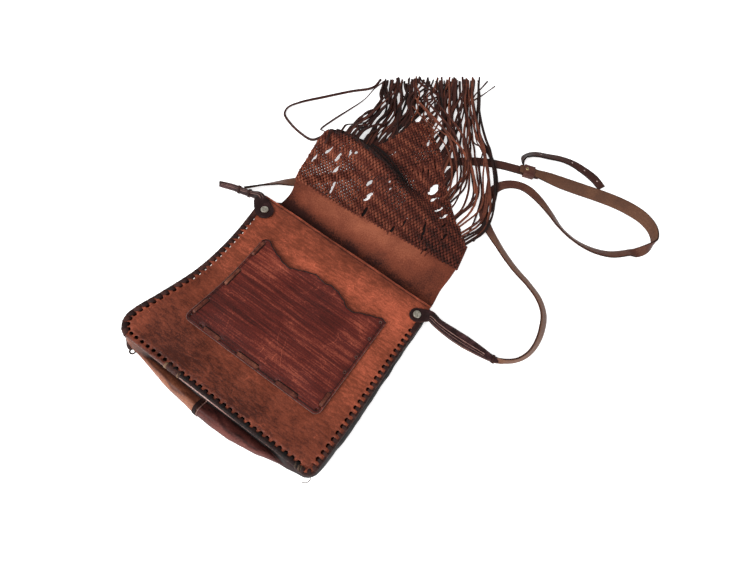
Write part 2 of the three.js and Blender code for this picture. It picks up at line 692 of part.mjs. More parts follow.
/** Net with its slits cut through. */
function flapNet() {
  const grid = (rise) => Array.from({ length: NET_ROWS }, (none, r) => (
    Array.from({ length: NET_COLUMNS }, (unused, c) => {
      const p = netPlan(c / (NET_COLUMNS - 1), r / (NET_ROWS - 1));
      return new THREE.Vector3(p.x, p.y, netHeight(p.x, p.y) + rise);
    })
  ));
  let net = toManifold(sheetSolid(grid(NET_THICKNESS), grid(0)));
  for (let column = 0; column < SLIT_COLUMNS; column++) {
    const across = (column + 0.5) / SLIT_COLUMNS;
    const length = netPlan(across, 0).distanceTo(netPlan(across, 1));
    const first = SLIT_MARGIN + (column % 2) * SLIT_STEP / 2;
    for (let along = first; along < length - SLIT_MARGIN; along += SLIT_STEP) {
      net = net.subtract(slitCutter(across, along / length));
    }
  }
  return toGeometry(net);
}

// Fringe
const fringeEndX = columnOf(NET_EDGE, 'way', 'endX');
const fringeEndY = columnOf(NET_EDGE, 'way', 'endY');

/** Unit vector in which the net runs out at its far edge. */
function netRun(across) {
  return netPlan(across, 1).sub(netPlan(across, 0.9)).normalize();
}

/** Point set off square to the net's far edge at one of its columns, and the height of the net there. */
function outsideColumn(column, offset) {
  const plan = (c) => netPlan(THREE.MathUtils.clamp(c, 0, NET_COLUMNS - 1) / (NET_COLUMNS - 1), 1);
  const edge = plan(column);
  const along = plan(column + 1).sub(plan(column - 1)).normalize();
  return new THREE.Vector3(
    edge.x - along.y * offset,
    edge.y + along.x * offset,
    netHeight(edge.x, edge.y),
  );
}

/** Point set off from the net's far edge at a share of the way across. */
function outsideEdge(across, offset) {
  const place = across * (NET_COLUMNS - 1);
  const column = Math.floor(place);
  return outsideColumn(column, offset).lerp(outsideColumn(column + 1, offset), place - column);
}

/** Band along the net's far edge that carries the thongs. */
function fringeBand() {
  const grid = (rise) => [GAP + 0.1, FRINGE_BAND].map((offset) => (
    Array.from({ length: NET_COLUMNS }, (unused, c) => {
      const p = outsideColumn(c, offset);
      return p.setZ(p.z + rise);
    })
  ));
  return sheetSolid(grid(NET_THICKNESS), grid(0));
}

/** One thong, from inside the band to its end on the floor. */
function thong(number) {
  const across = (number + 0.5) / THONGS;
  const root = outsideEdge(across, FRINGE_BAND * 0.6);
  const run = netRun(across);
  const start = new THREE.Vector2(root.x, root.y);
  const end = new THREE.Vector2(fringeEndX(across), fringeEndY(across));
  end.addScaledVector(FRINGE_SWEEP, THONG_SWAY * Math.sin(number * 2.3));
  const reach = start.distanceTo(end);
  const curve = new THREE.CubicBezierCurve(
    start,
    start.clone().addScaledVector(run, reach * 0.4),
    end.clone().addScaledVector(FRINGE_SWEEP, -reach * 0.36),
    end,
  );
  const high = root.z + NET_THICKNESS / 2;
  const rows = curve.getSpacedPoints(THONG_STEPS).map((p, i) => {
    const rest = overStraps(p.x, p.y, THONG_REST) + THONG_THICKNESS / 2;
    const z = mix(high, rest, ease(i / THONG_STEPS, 0.05, 0.45));
    return { x: p.x, y: p.y, z: Math.max(z, rest), width: THONG_WIDTH, thickness: THONG_THICKNESS, tilt: 0 };
  });
  return loftSolid(bandRings(rows, thongSection));
}

/** Band and thongs, joined. */
function fringe() {
  let joined = toManifold(fringeBand());
  for (let number = 0; number < THONGS; number++) {
    joined = joined.add(toManifold(thong(number)));
  }
  return toGeometry(joined);
}

// Strap bases

/** Round tab on the panel and the folded strip that runs from it. */
function strapBase(rows, place) {
  const first = rows[0];
  const away = new THREE.Vector2(first.x - place.x, first.y - place.y);
  const reach = away.length();
  away.normalize();
  const tabRows = [-0.96, -0.75, -0.4, 0, 0.5].map((share) => {
    const along = share < 0 ? share * TAB_RADIUS : share * reach;
    const halfWidth = share < 0 ? TAB_RADIUS * Math.sqrt(1 - share * share) : TAB_RADIUS;
    const [x, y] = [place.x + away.x * along, place.y + away.y * along];
    const z = frontTop(x, y) + GAP + 0.05 + TAB_THICKNESS / 2;
    const fall = frontTop(x + away.y, y - away.x) - frontTop(x - away.y, y + away.x);
    const tilt = THREE.MathUtils.radToDeg(Math.atan(fall / 2));
    return { x, y, z, width: 2 * halfWidth, thickness: TAB_THICKNESS, tilt };
  });
  const runRows = rows.map((row) => ({
    ...row,
    z: row.z ?? frontTop(row.x, row.y) + row.rise,
  }));
  const base = toManifold(loftSolid(bandRings([...tabRows, ...runRows], bandSection)));
  return toGeometry(base.subtract(rivetHole(place)));
}

// Strap joint

/** Turns and moves a geometry made about the joint into its place. */
function seatAtJoint(geometry) {
  return geometry.rotateZ(THREE.MathUtils.degToRad(JOINT.turn)).translate(JOINT.x, JOINT.y, 0);
}

/** Closed leather sleeve round both ends of the strap. */
function keeper() {
  const { length, width, height, wall, floor } = KEEPER;
  const sleeve = new THREE.Shape();
  sleeve.moveTo(-width / 2, 0).lineTo(width / 2, 0).lineTo(width / 2, height).lineTo(-width / 2, height);
  const bore = new THREE.Path();
  const half = width / 2 - wall;
  bore.moveTo(-half, wall).lineTo(-half, height - wall).lineTo(half, height - wall).lineTo(half, wall);
  sleeve.holes.push(bore);
  const geometry = new THREE.ExtrudeGeometry(sleeve, { depth: length, bevelEnabled: false });
  geometry.translate(0, 0, -length / 2).rotateX(Math.PI / 2).rotateZ(Math.PI / 2).translate(0, 0, floor);
  return toManifold(seatAtJoint(geometry));
}

/** Small rivet with its head on the keeper and its shank through both straps. */
function strapRivet() {
  const { headRadius, headHeight, shankRadius, offset, depth } = STRAP_RIVET;
  const seat = KEEPER.floor + KEEPER.height + GAP;
  const profile = [
    [0, seat - depth], [shankRadius, seat - depth], [shankRadius, seat], [headRadius, seat],
    [headRadius, seat + headHeight * 0.4], [headRadius * 0.6, seat + headHeight], [0, seat + headHeight],
  ].map(([r, h]) => new THREE.Vector2(r, h));
  return seatAtJoint(new THREE.LatheGeometry(profile, 12).rotateX(Math.PI / 2).translate(offset, 0, 0));
}

/** Hole for the small rivet's shank. */
function strapRivetHole() {
  const { shankRadius, offset, depth } = STRAP_RIVET;
  const hole = new THREE.CylinderGeometry(shankRadius + GAP, shankRadius + GAP, depth + 2, 10);
  const middle = KEEPER.floor + KEEPER.height + 1 - depth / 2;
  return toManifold(seatAtJoint(hole.rotateX(Math.PI / 2).translate(offset, 0, middle)));
}

/** Strap solid, as a closed band. */
const strapSolid = (rows) => toManifold(loftSolid(bandRings(rows, bandSection)));

const group = new THREE.Group();
group.name = 'fringe_crossbody_bag';

/** Adds one named piece with a material of its own. */
function addPiece(name, geometry, color, roughness, metalness = 0) {
  const material = new THREE.MeshStandardMaterial({ color, roughness, metalness });
  material.name = name;
  const mesh = new THREE.Mesh(geometry, material);
  mesh.name = name;
  group.add(mesh);
}

const seam = seamWay();
const jointHole = strapRivetHole();
addPiece('front_panel', frontPanel(), 0x8f4f2c, 0.55);
addPiece('back_flap_panel', backFlapPanel(), 0x6e3f2a, 0.8);
addPiece('gusset_left', gussetStrip(0, seam.way - seam.half), 0x6b3a22, 0.5);
addPiece('gusset_right', gussetStrip(seam.way + seam.half, 1), 0x55281b, 0.4);
addPiece('pocket', pocket(), 0x5d2a1c, 0.5);
addPiece('strap_base_left', strapBase(BASE_ROWS.left, RIVETS.left), 0x3f2320, 0.55);
addPiece('strap_base_right', strapBase(BASE_ROWS.right, RIVETS.right), 0x3f2320, 0.55);
addPiece('rivet_left', rivet(RIVETS.left), 0xb9b3a5, 0.3, 1);
addPiece('rivet_right', rivet(RIVETS.right), 0xb9b3a5, 0.3, 1);
addPiece('flap_net', flapNet(), 0x5f3324, 0.75);
addPiece('fringe', fringe(), 0x4c2a22, 0.75);
addPiece('strap_long', toGeometry(strapSolid(longRows).subtract(jointHole)), 0x5f3e30, 0.65);
addPiece('strap_main', toGeometry(strapSolid(mainRows).subtract(jointHole)), 0x6a4636, 0.65);
addPiece('strap_tail', toGeometry(strapSolid(tailRows)), 0x4a2c2a, 0.65);
addPiece('strap_keeper', toGeometry(keeper().subtract(jointHole)), 0x4f2d24, 0.6);
addPiece('strap_rivet', strapRivet(), 0xb9a98c, 0.35, 1);

export default group;
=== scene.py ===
"""Leather crossbody bag with a knotted, fringed flap, lying on its back with the flap thrown open.

Tables are in millimetres: X runs across the bag, Y from its bottom to its mouth and on along the
flap, Z up out of the front panel.  Meshes are in metres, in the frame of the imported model.
"""

import logging
import math
from dataclasses import dataclass, field
from enum import Enum
from typing import Callable, Sequence, TypeVar

import bpy
import numpy as np
from mathutils import Matrix, Vector, noise
from mathutils.geometry import delaunay_2d_cdt


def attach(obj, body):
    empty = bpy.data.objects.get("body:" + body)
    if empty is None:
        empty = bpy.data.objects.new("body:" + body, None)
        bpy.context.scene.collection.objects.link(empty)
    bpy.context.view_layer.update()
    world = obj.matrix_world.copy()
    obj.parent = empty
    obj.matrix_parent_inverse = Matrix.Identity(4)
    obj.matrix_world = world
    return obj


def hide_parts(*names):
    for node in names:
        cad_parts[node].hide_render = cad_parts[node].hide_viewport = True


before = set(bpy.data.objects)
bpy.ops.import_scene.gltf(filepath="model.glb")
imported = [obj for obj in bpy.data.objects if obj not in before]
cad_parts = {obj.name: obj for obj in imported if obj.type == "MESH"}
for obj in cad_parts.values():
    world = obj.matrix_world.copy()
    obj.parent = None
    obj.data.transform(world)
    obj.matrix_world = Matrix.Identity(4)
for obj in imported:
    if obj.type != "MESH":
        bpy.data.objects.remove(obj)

Array = np.ndarray
Height = Callable[[Array, Array], Array]
Section = Sequence[tuple[float, float]]
Row = TypeVar("Row")

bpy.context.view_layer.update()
LOG = logging.getLogger("crossbody_bag")

MM = 0.001
IMAGE_WIDTH = 750
BODY = "root"
# Gap between neighbours and thickness of each leather, in millimetres
GAP = 0.3
HIDE = 2.0
GUSSET_HIDE = 1.6
POCKET_HIDE = 1.8
STRAP_HIDE = 2.4
NET_DEPTH = 3.0
LACE_DEPTH = 1.2
# Angles in degrees from which an edge of a round or a flat thong stays sharp
ROUND_CREASE = 70.0
THONG_CREASE = 80.0


class Surface(Enum):
    """Sides of a piece of hide, in the order of its material slots."""

    GRAIN = 0
    EDGE = 1
    FLESH = 2


# Sides of a sheet in the order in which its faces are made
SHEET_SIDES = (Surface.GRAIN.value, Surface.FLESH.value, Surface.EDGE.value)


# ---------------------------------------------------------------------------------------------
# Curves and tables


def mix(start: Array | float, end: Array | float, share: Array | float) -> Array | float:
    """Value between start and end."""
    return start + (end - start) * share


def ease(value: Array | float, low: float, high: float) -> Array:
    """Smooth step from 0 to 1 while value goes from low to high."""
    share = np.clip((np.asarray(value, float) - low) / (high - low), 0.0, 1.0)
    return share * share * (3.0 - 2.0 * share)


def rumple(x: Array, y: Array, size: float, seed: float) -> Array:
    """Soft random relief.

    Args:
        x: Places across, in millimetres.
        y: Places along, in millimetres.
        size: Width of one bump, in millimetres.
        seed: Slice of the noise that is used.

    Returns:
        Relief between about -1 and 1, in the shape of x.
    """
    flat = zip(np.ravel(x) / size, np.ravel(y) / size)
    return np.array([noise.noise(Vector((a, b, seed))) for a, b in flat]).reshape(np.shape(x))


@dataclass(frozen=True)
class Stations:
    """Smooth curve through a short table of keys and values."""

    keys: tuple[float, ...]
    values: tuple[float, ...]

    def at(self, key: Array | float) -> Array:
        """Values of the curve at the given keys, level beyond its ends.

        Args:
            key: Where to read the curve.

        Returns:
            The values there.
        """
        keys, values = np.array(self.keys), np.array(self.values)
        near = np.arange(len(keys))
        before, after = np.maximum(near - 1, 0), np.minimum(near + 1, len(keys) - 1)
        slopes = (values[after] - values[before]) / (keys[after] - keys[before])
        place = np.asarray(key, float)
        i = np.clip(np.searchsorted(keys, place) - 1, 0, len(keys) - 2)
        span = keys[i + 1] - keys[i]
        t = np.clip((place - keys[i]) / span, 0.0, 1.0)
        bent = mix(values[i], values[i + 1], t * t * (3.0 - 2.0 * t))
        return bent + slopes[i] * span * t * (1 - t) ** 2 + slopes[i + 1] * span * t * t * (t - 1)


def table(kind: Callable[..., Row], rows: Sequence[Sequence[object]]) -> tuple[Row, ...]:
    """Table whose rows are all of one kind."""
    return tuple(kind(*row) for row in rows)


def column(rows: Sequence[object], key: str, name: str) -> Stations:
    """Curve through one named column of a table, over its key column."""
    return Stations(tuple(getattr(r, key) for r in rows), tuple(getattr(r, name) for r in rows))


def smooth_path(points: Array, step: float) -> tuple[Array, Array]:
    """Even points on a smooth curve through a table's points.

    Args:
        points: Points of the table, one row each.
        step: Distance between the points that come back.

    Returns:
        The even points, and for each its place in the table as a row number with a fraction.
    """
    points = np.asarray(points, float)
    padded = np.vstack([2 * points[0] - points[1], points, 2 * points[-1] - points[-2]])
    fine, places = [], []
    share = np.linspace(0.0, 1.0, 13)[:, None]
    for i in range(len(points) - 1):
        p0, p1, p2, p3 = padded[i : i + 4]
        pairs = ((p0, p1), (p1, p2), (p2, p3))
        d0, d1, d2 = (max(np.linalg.norm(b - a), 1e-6) ** 0.5 for a, b in pairs)
        start = ((p1 - p0) / d0 - (p2 - p0) / (d0 + d1) + (p2 - p1) / d1) * d1
        end = ((p2 - p1) / d1 - (p3 - p1) / (d1 + d2) + (p3 - p2) / d2) * d1
        bend = mix(p1, p2, share**2 * (3 - 2 * share))
        fine.append(bend + start * share * (1 - share) ** 2 + end * share**2 * (share - 1))
        places.append(i + share[:, 0])
    track, place = np.vstack(fine), np.concatenate(places)
    run = np.concatenate([[0.0], np.cumsum(np.linalg.norm(np.diff(track, axis=0), axis=1))])
    even = np.linspace(0.0, run[-1], max(2, round(run[-1] / step) + 1))
    back = np.stack([np.interp(even, run, axis) for axis in track.T], axis=1)
    return back, np.interp(even, run, place)


def draped(flat: Array, height: Height, up: Array | float = 0.0) -> Array:
    """Points of a plan, laid on a height and raised above it."""
    return np.column_stack([flat, height(flat[:, 0], flat[:, 1]) + up])


def unit(vectors: Array) -> Array:
    """Vectors of length one, along the last axis."""
    return vectors / np.maximum(np.linalg.norm(vectors, axis=-1, keepdims=True), 1e-9)


# ---------------------------------------------------------------------------------------------
# Meshes


def grid_faces(rows: int, columns: int, closed: bool = False) -> Array:
    """Four-sided faces of a grid of points.

    Args:
        rows: Number of rows.
        columns: Number of points in each row.
        closed: Whether each row runs round into itself.

    Returns:
        Faces as rows of four point numbers.
    """
    across = np.arange(columns if closed else columns - 1)[None, :]
    first = np.arange(rows - 1)[:, None] * columns
    a, b = first + across, first + (across + 1) % columns
    return np.stack([a, b, b + columns, a + columns], axis=-1).reshape(-1, 4)


class Skin:
    """Points and faces of one piece, gathered in millimetres and built in metres."""

    def __init__(self) -> None:
        """Start with no points."""
        self.points: list[Array] = []
        self.tones: list[Array] = []
        self.faces: list[Array] = []
        self.kinds: list[Array] = []
        self.count = 0

    def add(
        self,
        points: Array,
        faces: Sequence[Array],
        kinds: Sequence[Array | int],
        tone: Array | float = 0.0,
    ) -> None:
        """Add one closed body, turned so that its faces point out.

        Args:
            points: Points, one row each.
            faces: Blocks of faces, each with one number of corners.
            kinds: Material slot of each block, or of each of its faces.
            tone: How much lighter (to 1) or darker (to -1) the hide is at each point.
        """
        points = np.asarray(points, float).reshape(-1, 3)
        middle = points.mean(axis=0)
        volume = 0.0
        for block in faces:
            a = points[block[:, 0]] - middle
            for k in range(1, block.shape[1] - 1):
                b, c = points[block[:, k]] - middle, points[block[:, k + 1]] - middle
                volume += np.einsum("ij,ij->", a, np.cross(b, c))
        for block, kind in zip(faces, kinds):
            self.faces.append((block if volume >= 0 else block[:, ::-1]) + self.count)
            self.kinds.append(np.broadcast_to(kind, len(block)))
        self.points.append(points)
        self.tones.append(np.broadcast_to(tone, len(points)).astype(float))
        self.count += len(points)

    def build(
        self, name: str, finishes: Sequence["Finish"], slot: str, *nodes: str, crease: float = 42.0
    ) -> bpy.types.Object:
        """Make the Blender object.

        Args:
            name: Name of the piece.
            finishes: Its finishes, in the order of its sides.
            slot: Its material slot of the record; not used.
            nodes: Nodes of the record that it stands for.
            crease: Angle in degrees from which an edge stays sharp.

        Returns:
            The object, riding on the bag.
        """
        mesh = bpy.data.meshes.new(name)
        faces = [tuple(face) for block in self.faces for face in block.tolist()]
        mesh.from_pydata((np.vstack(self.points) * MM).tolist(), [], faces)
        mesh.polygons.foreach_set("material_index", np.concatenate(self.kinds).astype(np.int32))
        mesh.polygons.foreach_set("use_smooth", np.ones(len(faces), bool))
        tones = mesh.attributes.new("tone", "FLOAT", "POINT")
        tones.data.foreach_set("value", np.concatenate(self.tones).astype(np.float32))
        mesh.update()
        mesh.set_sharp_from_angle(angle=math.radians(crease))
        for finish in finishes:
            mesh.materials.append(finish.material())
        piece = bpy.data.objects.new(name, mesh)
        bpy.context.scene.collection.objects.link(piece)
        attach(piece, BODY)
        if nodes:
            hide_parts(*nodes)
        LOG.info("%s: %d faces", name, len(faces))
        return piece


# Sections of a band in shares of its half width and half thickness, with the side of each face
SOFT_BAND = (
    (1, 0.3), (0.97, 0.75), (0.9, 1), (0.45, 1.06), (0, 1.08), (-0.45, 1.06), (-0.9, 1), (-0.97, 0.75),
    (-1, 0.3), (-1, -0.3), (-0.97, -0.75), (-0.9, -1), (0, -1), (0.9, -1), (0.97, -0.75), (1, -0.3))
SOFT_SIDES = (1, 0, 0, 0, 0, 0, 0, 1, 1, 1, 2, 2, 2, 2, 1, 1)
THONG_BAND = ((1, 0), (0.72, 1), (-0.72, 1), (-1, 0), (-0.72, -1), (0.72, -1))
FOLDED_BAND = (
    (1, 0.12), (0.98, 0.7), (0.8, 1), (0.3, 0.86), (-0.3, 0.82), (-0.8, 0.98), (-1, 0.5), (-1, -0.5),
    (-0.8, -1), (0, -1), (0.8, -1), (0.98, -0.7), (1, -0.12), (0.6, 0))
FOLDED_SIDES = (1, 0, 0, 0, 0, 0, 0, 0, 0, 0, 0, 1, 1, 1)
ROUND_BAND = (
    (1, 0), (0.71, 0.71), (0, 1), (-0.71, 0.71), (-1, 0), (-0.71, -0.71), (0, -1), (0.71, -0.71))


def band_frames(points: Array, tilt: Array | float) -> tuple[Array, Array]:
    """Directions across and through a band that follows a path.

    Args:
        points: Points of the path.
        tilt: Turn about the path in degrees; a positive one lifts the right-hand edge.

    Returns:
        Unit vectors across and through, one row for each point.
    """
    along = unit(np.gradient(points, axis=0))
    side = unit(np.stack([along[:, 1], -along[:, 0], np.zeros(len(points))], axis=1))
    up = np.cross(side, along)
    angle = np.radians(np.broadcast_to(tilt, len(points)))[:, None]
    return side * np.cos(angle) + up * np.sin(angle), up * np.cos(angle) - side * np.sin(angle)


def add_loft(
    skin: Skin,
    points: Array,
    frames: tuple[Array, Array],
    width: Array | float,
    thickness: Array | float,
    section: Section = THONG_BAND,
    sides: Sequence[int] | None = None,
    tone: Array | float = 0.0,
) -> None:
    """Add a section carried along a path.

    Args:
        skin: Piece that takes it.
        points: Points of the path.
        frames: Directions across and through, at each point.
        width: Width, at each point or all along.
        thickness: Thickness, at each point or all along.
        section: Its section, in shares of half width and half thickness.
        sides: Material slot of each face of the section; the grain side where it isn't given.
        tone: How much lighter or darker it is, at each point or all along.
    """
    half_width, half_depth = (
        np.broadcast_to(size, len(points))[:, None, None] / 2 for size in (width, thickness))
    shape = np.array(section)
    across, through = (way[:, None, :] for way in frames)
    rings = points[:, None, :] + across * half_width * shape[None, :, :1]
    rings = rings + through * half_depth * shape[None, :, 1:]
    count = len(shape)
    last = (len(points) - 1) * count
    ends = np.array([np.arange(count)[::-1], last + np.arange(count)])
    kinds = np.tile(sides if sides is not None else (0,) * count, len(points) - 1)
    caps = Surface.EDGE.value if sides is not None else 0
    shade = np.repeat(np.broadcast_to(tone, len(points)), count)
    skin.add(rings, (grid_faces(len(points), count, closed=True), ends), (kinds, caps), shade)


def add_band(
    skin: Skin,
    points: Array,
    tilt: Array | float,
    width: Array | float,
    thickness: Array | float,
    section: Section = THONG_BAND,
    sides: Sequence[int] | None = None,
    tone: Array | float = 0.0,
) -> None:
    """Add a band that follows a path, turned about it by a tilt in degrees, as a loft."""
    add_loft(skin, points, band_frames(points, tilt), width, thickness, section, sides, tone)


def add_flat(
    skin: Skin, path: Array, level: Array, width: Array | float, thickness: float, tone: float = 0.0
) -> None:
    """Add a thong whose width keeps to a given direction.

    Args:
        skin: Piece that takes it.
        path: Points along its middle.
        level: Direction of its width at each point.
        width: Its width.
        thickness: Its thickness.
        tone: How much lighter or darker it is.
    """
    along = unit(np.gradient(path, axis=0))
    across = unit(level - along * np.einsum("ij,ij->i", level, along)[:, None])
    add_loft(skin, path, (across, np.cross(across, along)), width, thickness, tone=tone)


def add_sheet(skin: Skin, upper: Array, lower: Array, tone: Array | float = 0.0) -> None:
    """Add a sheet of hide between two equal grids of points.

    Args:
        skin: Piece that takes the sheet.
        upper: Grid of points of the grain side.
        lower: Grid of points of the flesh side.
        tone: How much lighter or darker each point of the grid is.
    """
    rows, columns = upper.shape[:2]
    size = rows * columns
    top = grid_faces(rows, columns)
    number = np.arange(size).reshape(rows, columns)
    rim = np.concatenate([number[0, :-1], number[:-1, -1], number[-1, :0:-1], number[:0:-1, 0]])
    ahead = np.roll(rim, -1)
    walls = np.stack([rim, rim + size, ahead + size, ahead], axis=1)
    points = np.concatenate([upper.reshape(-1, 3), lower.reshape(-1, 3)])
    tones = np.tile(np.broadcast_to(tone, (rows, columns)).ravel(), 2)
    skin.add(points, (top, top[:, ::-1] + size, walls), SHEET_SIDES, tones)


def add_turned(skin: Skin, profile: Section, place: Matrix, sides: int = 40) -> None:
    """Add a turned part.

    Args:
        skin: Piece that takes it.
        profile: Radius and height from its foot to its crown; both ends lie on the axis.
        place: Turn and place of the part.
        sides: Number of points round it.
    """
    turn = np.linspace(0.0, 2 * np.pi, sides, endpoint=False)
    inner = profile[1:-1]
    rings = [np.stack([r * np.cos(turn), r * np.sin(turn), np.full(sides, h)], 1) for r, h in inner]
    points = np.vstack(rings + [np.array([[0, 0, profile[0][1]], [0, 0, profile[-1][1]]])])
    number = np.arange(sides)
    ahead = np.roll(number, -1)
    last = (len(inner) - 1) * sides
    foot = np.stack([np.full(sides, len(points) - 2), ahead, number], axis=1)
    crown = np.stack([np.full(sides, len(points) - 1), last + number, last + ahead], axis=1)
    moved = points @ np.array(place.to_3x3()).T + np.array(place.translation)
    skin.add(moved, (grid_faces(len(inner), sides, closed=True), foot, crown), (0, 0, 0))


def inside(x: Array, y: Array, outline: Array) -> Array:
    """Whether points lie inside a closed outline.

    Args:
        x: Places of the points across.
        y: Places of the points along.
        outline: Corners of the outline.

    Returns:
        True for each point that does.
    """
    found = np.zeros(len(x), bool)
    for (ax, ay), (bx, by) in zip(outline, np.roll(outline, -1, axis=0)):
        if ay != by:
            found ^= ((ay > y) != (by > y)) & (x < (bx - ax) * (y - ay) / (by - ay) + ax)
    return found


def offset_loop(loop: Array, distance: float) -> Array:
    """Closed loop that runs left-handed round its inside, moved out by a distance."""
    along = unit(np.roll(loop, -1, axis=0) - np.roll(loop, 1, axis=0))
    return loop + np.stack([along[:, 1], -along[:, 0]], axis=1) * distance


def oval(x: float, y: float, long: float, wide: float, turn: float = 0.0, count: int = 12) -> Array:
    """Points round an oval hole, left-handed.

    Args:
        x: Middle of the hole across.
        y: Middle of the hole along.
        long: Half its length.
        wide: Half its width.
        turn: Angle of its long axis in radians.
        count: Number of points.

    Returns:
        The points.
    """
    angle = np.linspace(0.0, 2 * np.pi, count, endpoint=False)
    u, v = long * np.cos(angle), wide * np.sin(angle)
    c, k = math.cos(turn), math.sin(turn)
    return np.stack([x + u * c - v * k, y + u * k + v * c], axis=1)


@dataclass
class HidePattern:
    """Flat pattern of a piece of hide: outline, holes and how closely it is meshed."""

    outline: Array
    holes: list[Array] = field(default_factory=list)
    spacing: float = 3.0
    rounding: float = 0.4
    extra: Array | None = None
    edge_inset: float = 0.9
    hole_inset: float = 0.7

    def add_to(self, skin: Skin, top: Height, thickness: float, tone: Height) -> None:
        """Cut the pattern, lay it over a height and add it to a piece.

        Args:
            skin: Piece that takes the sheet.
            top: Height of its upper face.
            thickness: Thickness of the hide.
            tone: How much lighter or darker the hide is, over x and y.
        """
        loops = [self.outline, *self.holes]
        insets = [offset_loop(self.outline, -self.edge_inset)]
        insets += [offset_loop(hole, self.hole_inset) for hole in self.holes]
        fixed = np.vstack(loops + insets + ([self.extra] if self.extra is not None else []))
        low, high = self.outline.min(axis=0), self.outline.max(axis=0)
        gx, gy = np.meshgrid(*(np.arange(start, stop, self.spacing) for start, stop in zip(low, high)))
        gx[1::2] += self.spacing / 2
        grid = np.stack([gx.ravel(), gy.ravel()], axis=1)
        keep = inside(grid[:, 0], grid[:, 1], self.outline)
        for hole in self.holes:
            keep &= ~inside(grid[:, 0], grid[:, 1], hole)
        grid = grid[keep]
        nearest = np.full(len(grid), np.inf)
        for block in np.array_split(fixed, max(1, len(fixed) // 400)):
            away = np.linalg.norm(grid[:, None] - block[None], axis=2)
            nearest = np.minimum(nearest, away.min(axis=1))
        points = np.vstack([fixed, grid[nearest > 0.5 * self.spacing]])
        edges, owner, start = [], np.full(len(points), -1), 0
        for number, loop in enumerate(loops):
            ring = np.arange(start, start + len(loop))
            edges += list(zip(ring.tolist(), np.roll(ring, -1).tolist()))
            owner[ring] = number
            start += len(loop)
        made = delaunay_2d_cdt([Vector(p) for p in points.tolist()], edges, [], 1, 1e-6)
        flat = np.array([tuple(v) for v in made[0]])
        source = np.array([ids[0] if ids else -1 for ids in made[3]])
        owners = np.where(source >= 0, owner[source], -1)
        triangles = np.array(made[2])
        sides = owners[triangles]
        in_hole = (sides[:, 0] > 0) & (sides[:, 0] == sides[:, 1]) & (sides[:, 0] == sides[:, 2])
        triangles = triangles[~in_hole]
        lookup = np.full(len(points), -1)
        lookup[source[source >= 0]] = np.nonzero(source >= 0)[0]
        x, y = flat[:, 0], flat[:, 1]
        crown = top(x, y)
        drop = np.where(owners >= 0, self.rounding, 0.0)
        upper = np.stack([x, y, crown - drop], axis=1)
        lower = np.stack([x, y, crown - thickness + drop], axis=1)
        walls, start = [], 0
        for loop in loops:
            ring = lookup[np.arange(start, start + len(loop))]
            ahead = np.roll(ring, -1)
            walls.append(np.stack([ring, ring + len(flat), ahead + len(flat), ahead], axis=1))
            start += len(loop)
        faces = (triangles, triangles[:, ::-1] + len(flat), np.vstack(walls))
        skin.add(np.vstack([upper, lower]), faces, SHEET_SIDES, np.tile(tone(x, y), 2))


# ---------------------------------------------------------------------------------------------
# Finishes


def linear(colour: str) -> tuple[float, float, float, float]:
    """Linear colour of an sRGB hex value.

    Args:
        colour: The hex value, with its hash sign.

    Returns:
        Red, green, blue and a full alpha.
    """
    parts = [int(colour[i : i + 2], 16) / 255 for i in (1, 3, 5)]
    flat = [p / 12.92 if p <= 0.04045 else ((p + 0.055) / 1.055) ** 2.4 for p in parts]
    return (*flat, 1.0)


def per_metre(size: float) -> float:
    """Scale of a pattern whose features are the given size in millimetres."""
    return 1.0 / (size * MM)


def add_node(
    tree: bpy.types.NodeTree,
    kind: str,
    settings: dict[str | int, object] | None = None,
    links: dict[str | int, bpy.types.NodeSocket] | None = None,
    output: str | int = 0,
) -> bpy.types.NodeSocket | None:
    """Add a shader node.

    Args:
        tree: Node tree that takes it.
        kind: Blender's name of the node, without ShaderNode.
        settings: Properties and fixed inputs by name or number; ramp takes places and colours,
            range the low and high end of a value and what each is mapped to.
        links: Outputs that feed its inputs, by the input's name or number.
        output: Name or number of the output that the next node takes.

    Returns:
        That output, or None for the last node of a tree.
    """
    node = tree.nodes.new("ShaderNode" + kind)
    for key, value in (settings or {}).items():
        if key == "ramp":
            steps = node.color_ramp.elements
            while len(steps) < len(value):
                steps.new(0.5)
            for step, (place, colour) in zip(steps, value):
                step.position, step.color = place, linear(colour)
        elif key == "range":
            for end, number in zip(("From Min", "From Max", "To Min", "To Max"), value):
                node.inputs[end].default_value = number
        elif isinstance(key, str) and hasattr(node, key):
            setattr(node, key, value)
        else:
            node.inputs[key].default_value = value
    for key, socket in (links or {}).items():
        tree.links.new(socket, node.inputs[key])
    return node.outputs[output] if len(node.outputs) else None


@dataclass(frozen=True)
class Finish:
    """Look of a surface, made as a material once and then shared."""

    name: str

    def material(self) -> bpy.types.Material:
        """Material of this finish.

        Returns:
            The material, made at the first call.
        """
        found = bpy.data.materials.get(self.name)
        if found:
            return found
        made = bpy.data.materials.new(self.name)
        made.use_nodes = True
        made.node_tree.nodes.clear()
        add_node(made.node_tree, "OutputMaterial", {}, {"Surface": self.shader(made.node_tree)})
        return made

    def shader(self, tree: bpy.types.NodeTree) -> bpy.types.NodeSocket:
        """Lay out the nodes of the finish and give its shader."""
        raise NotImplementedError


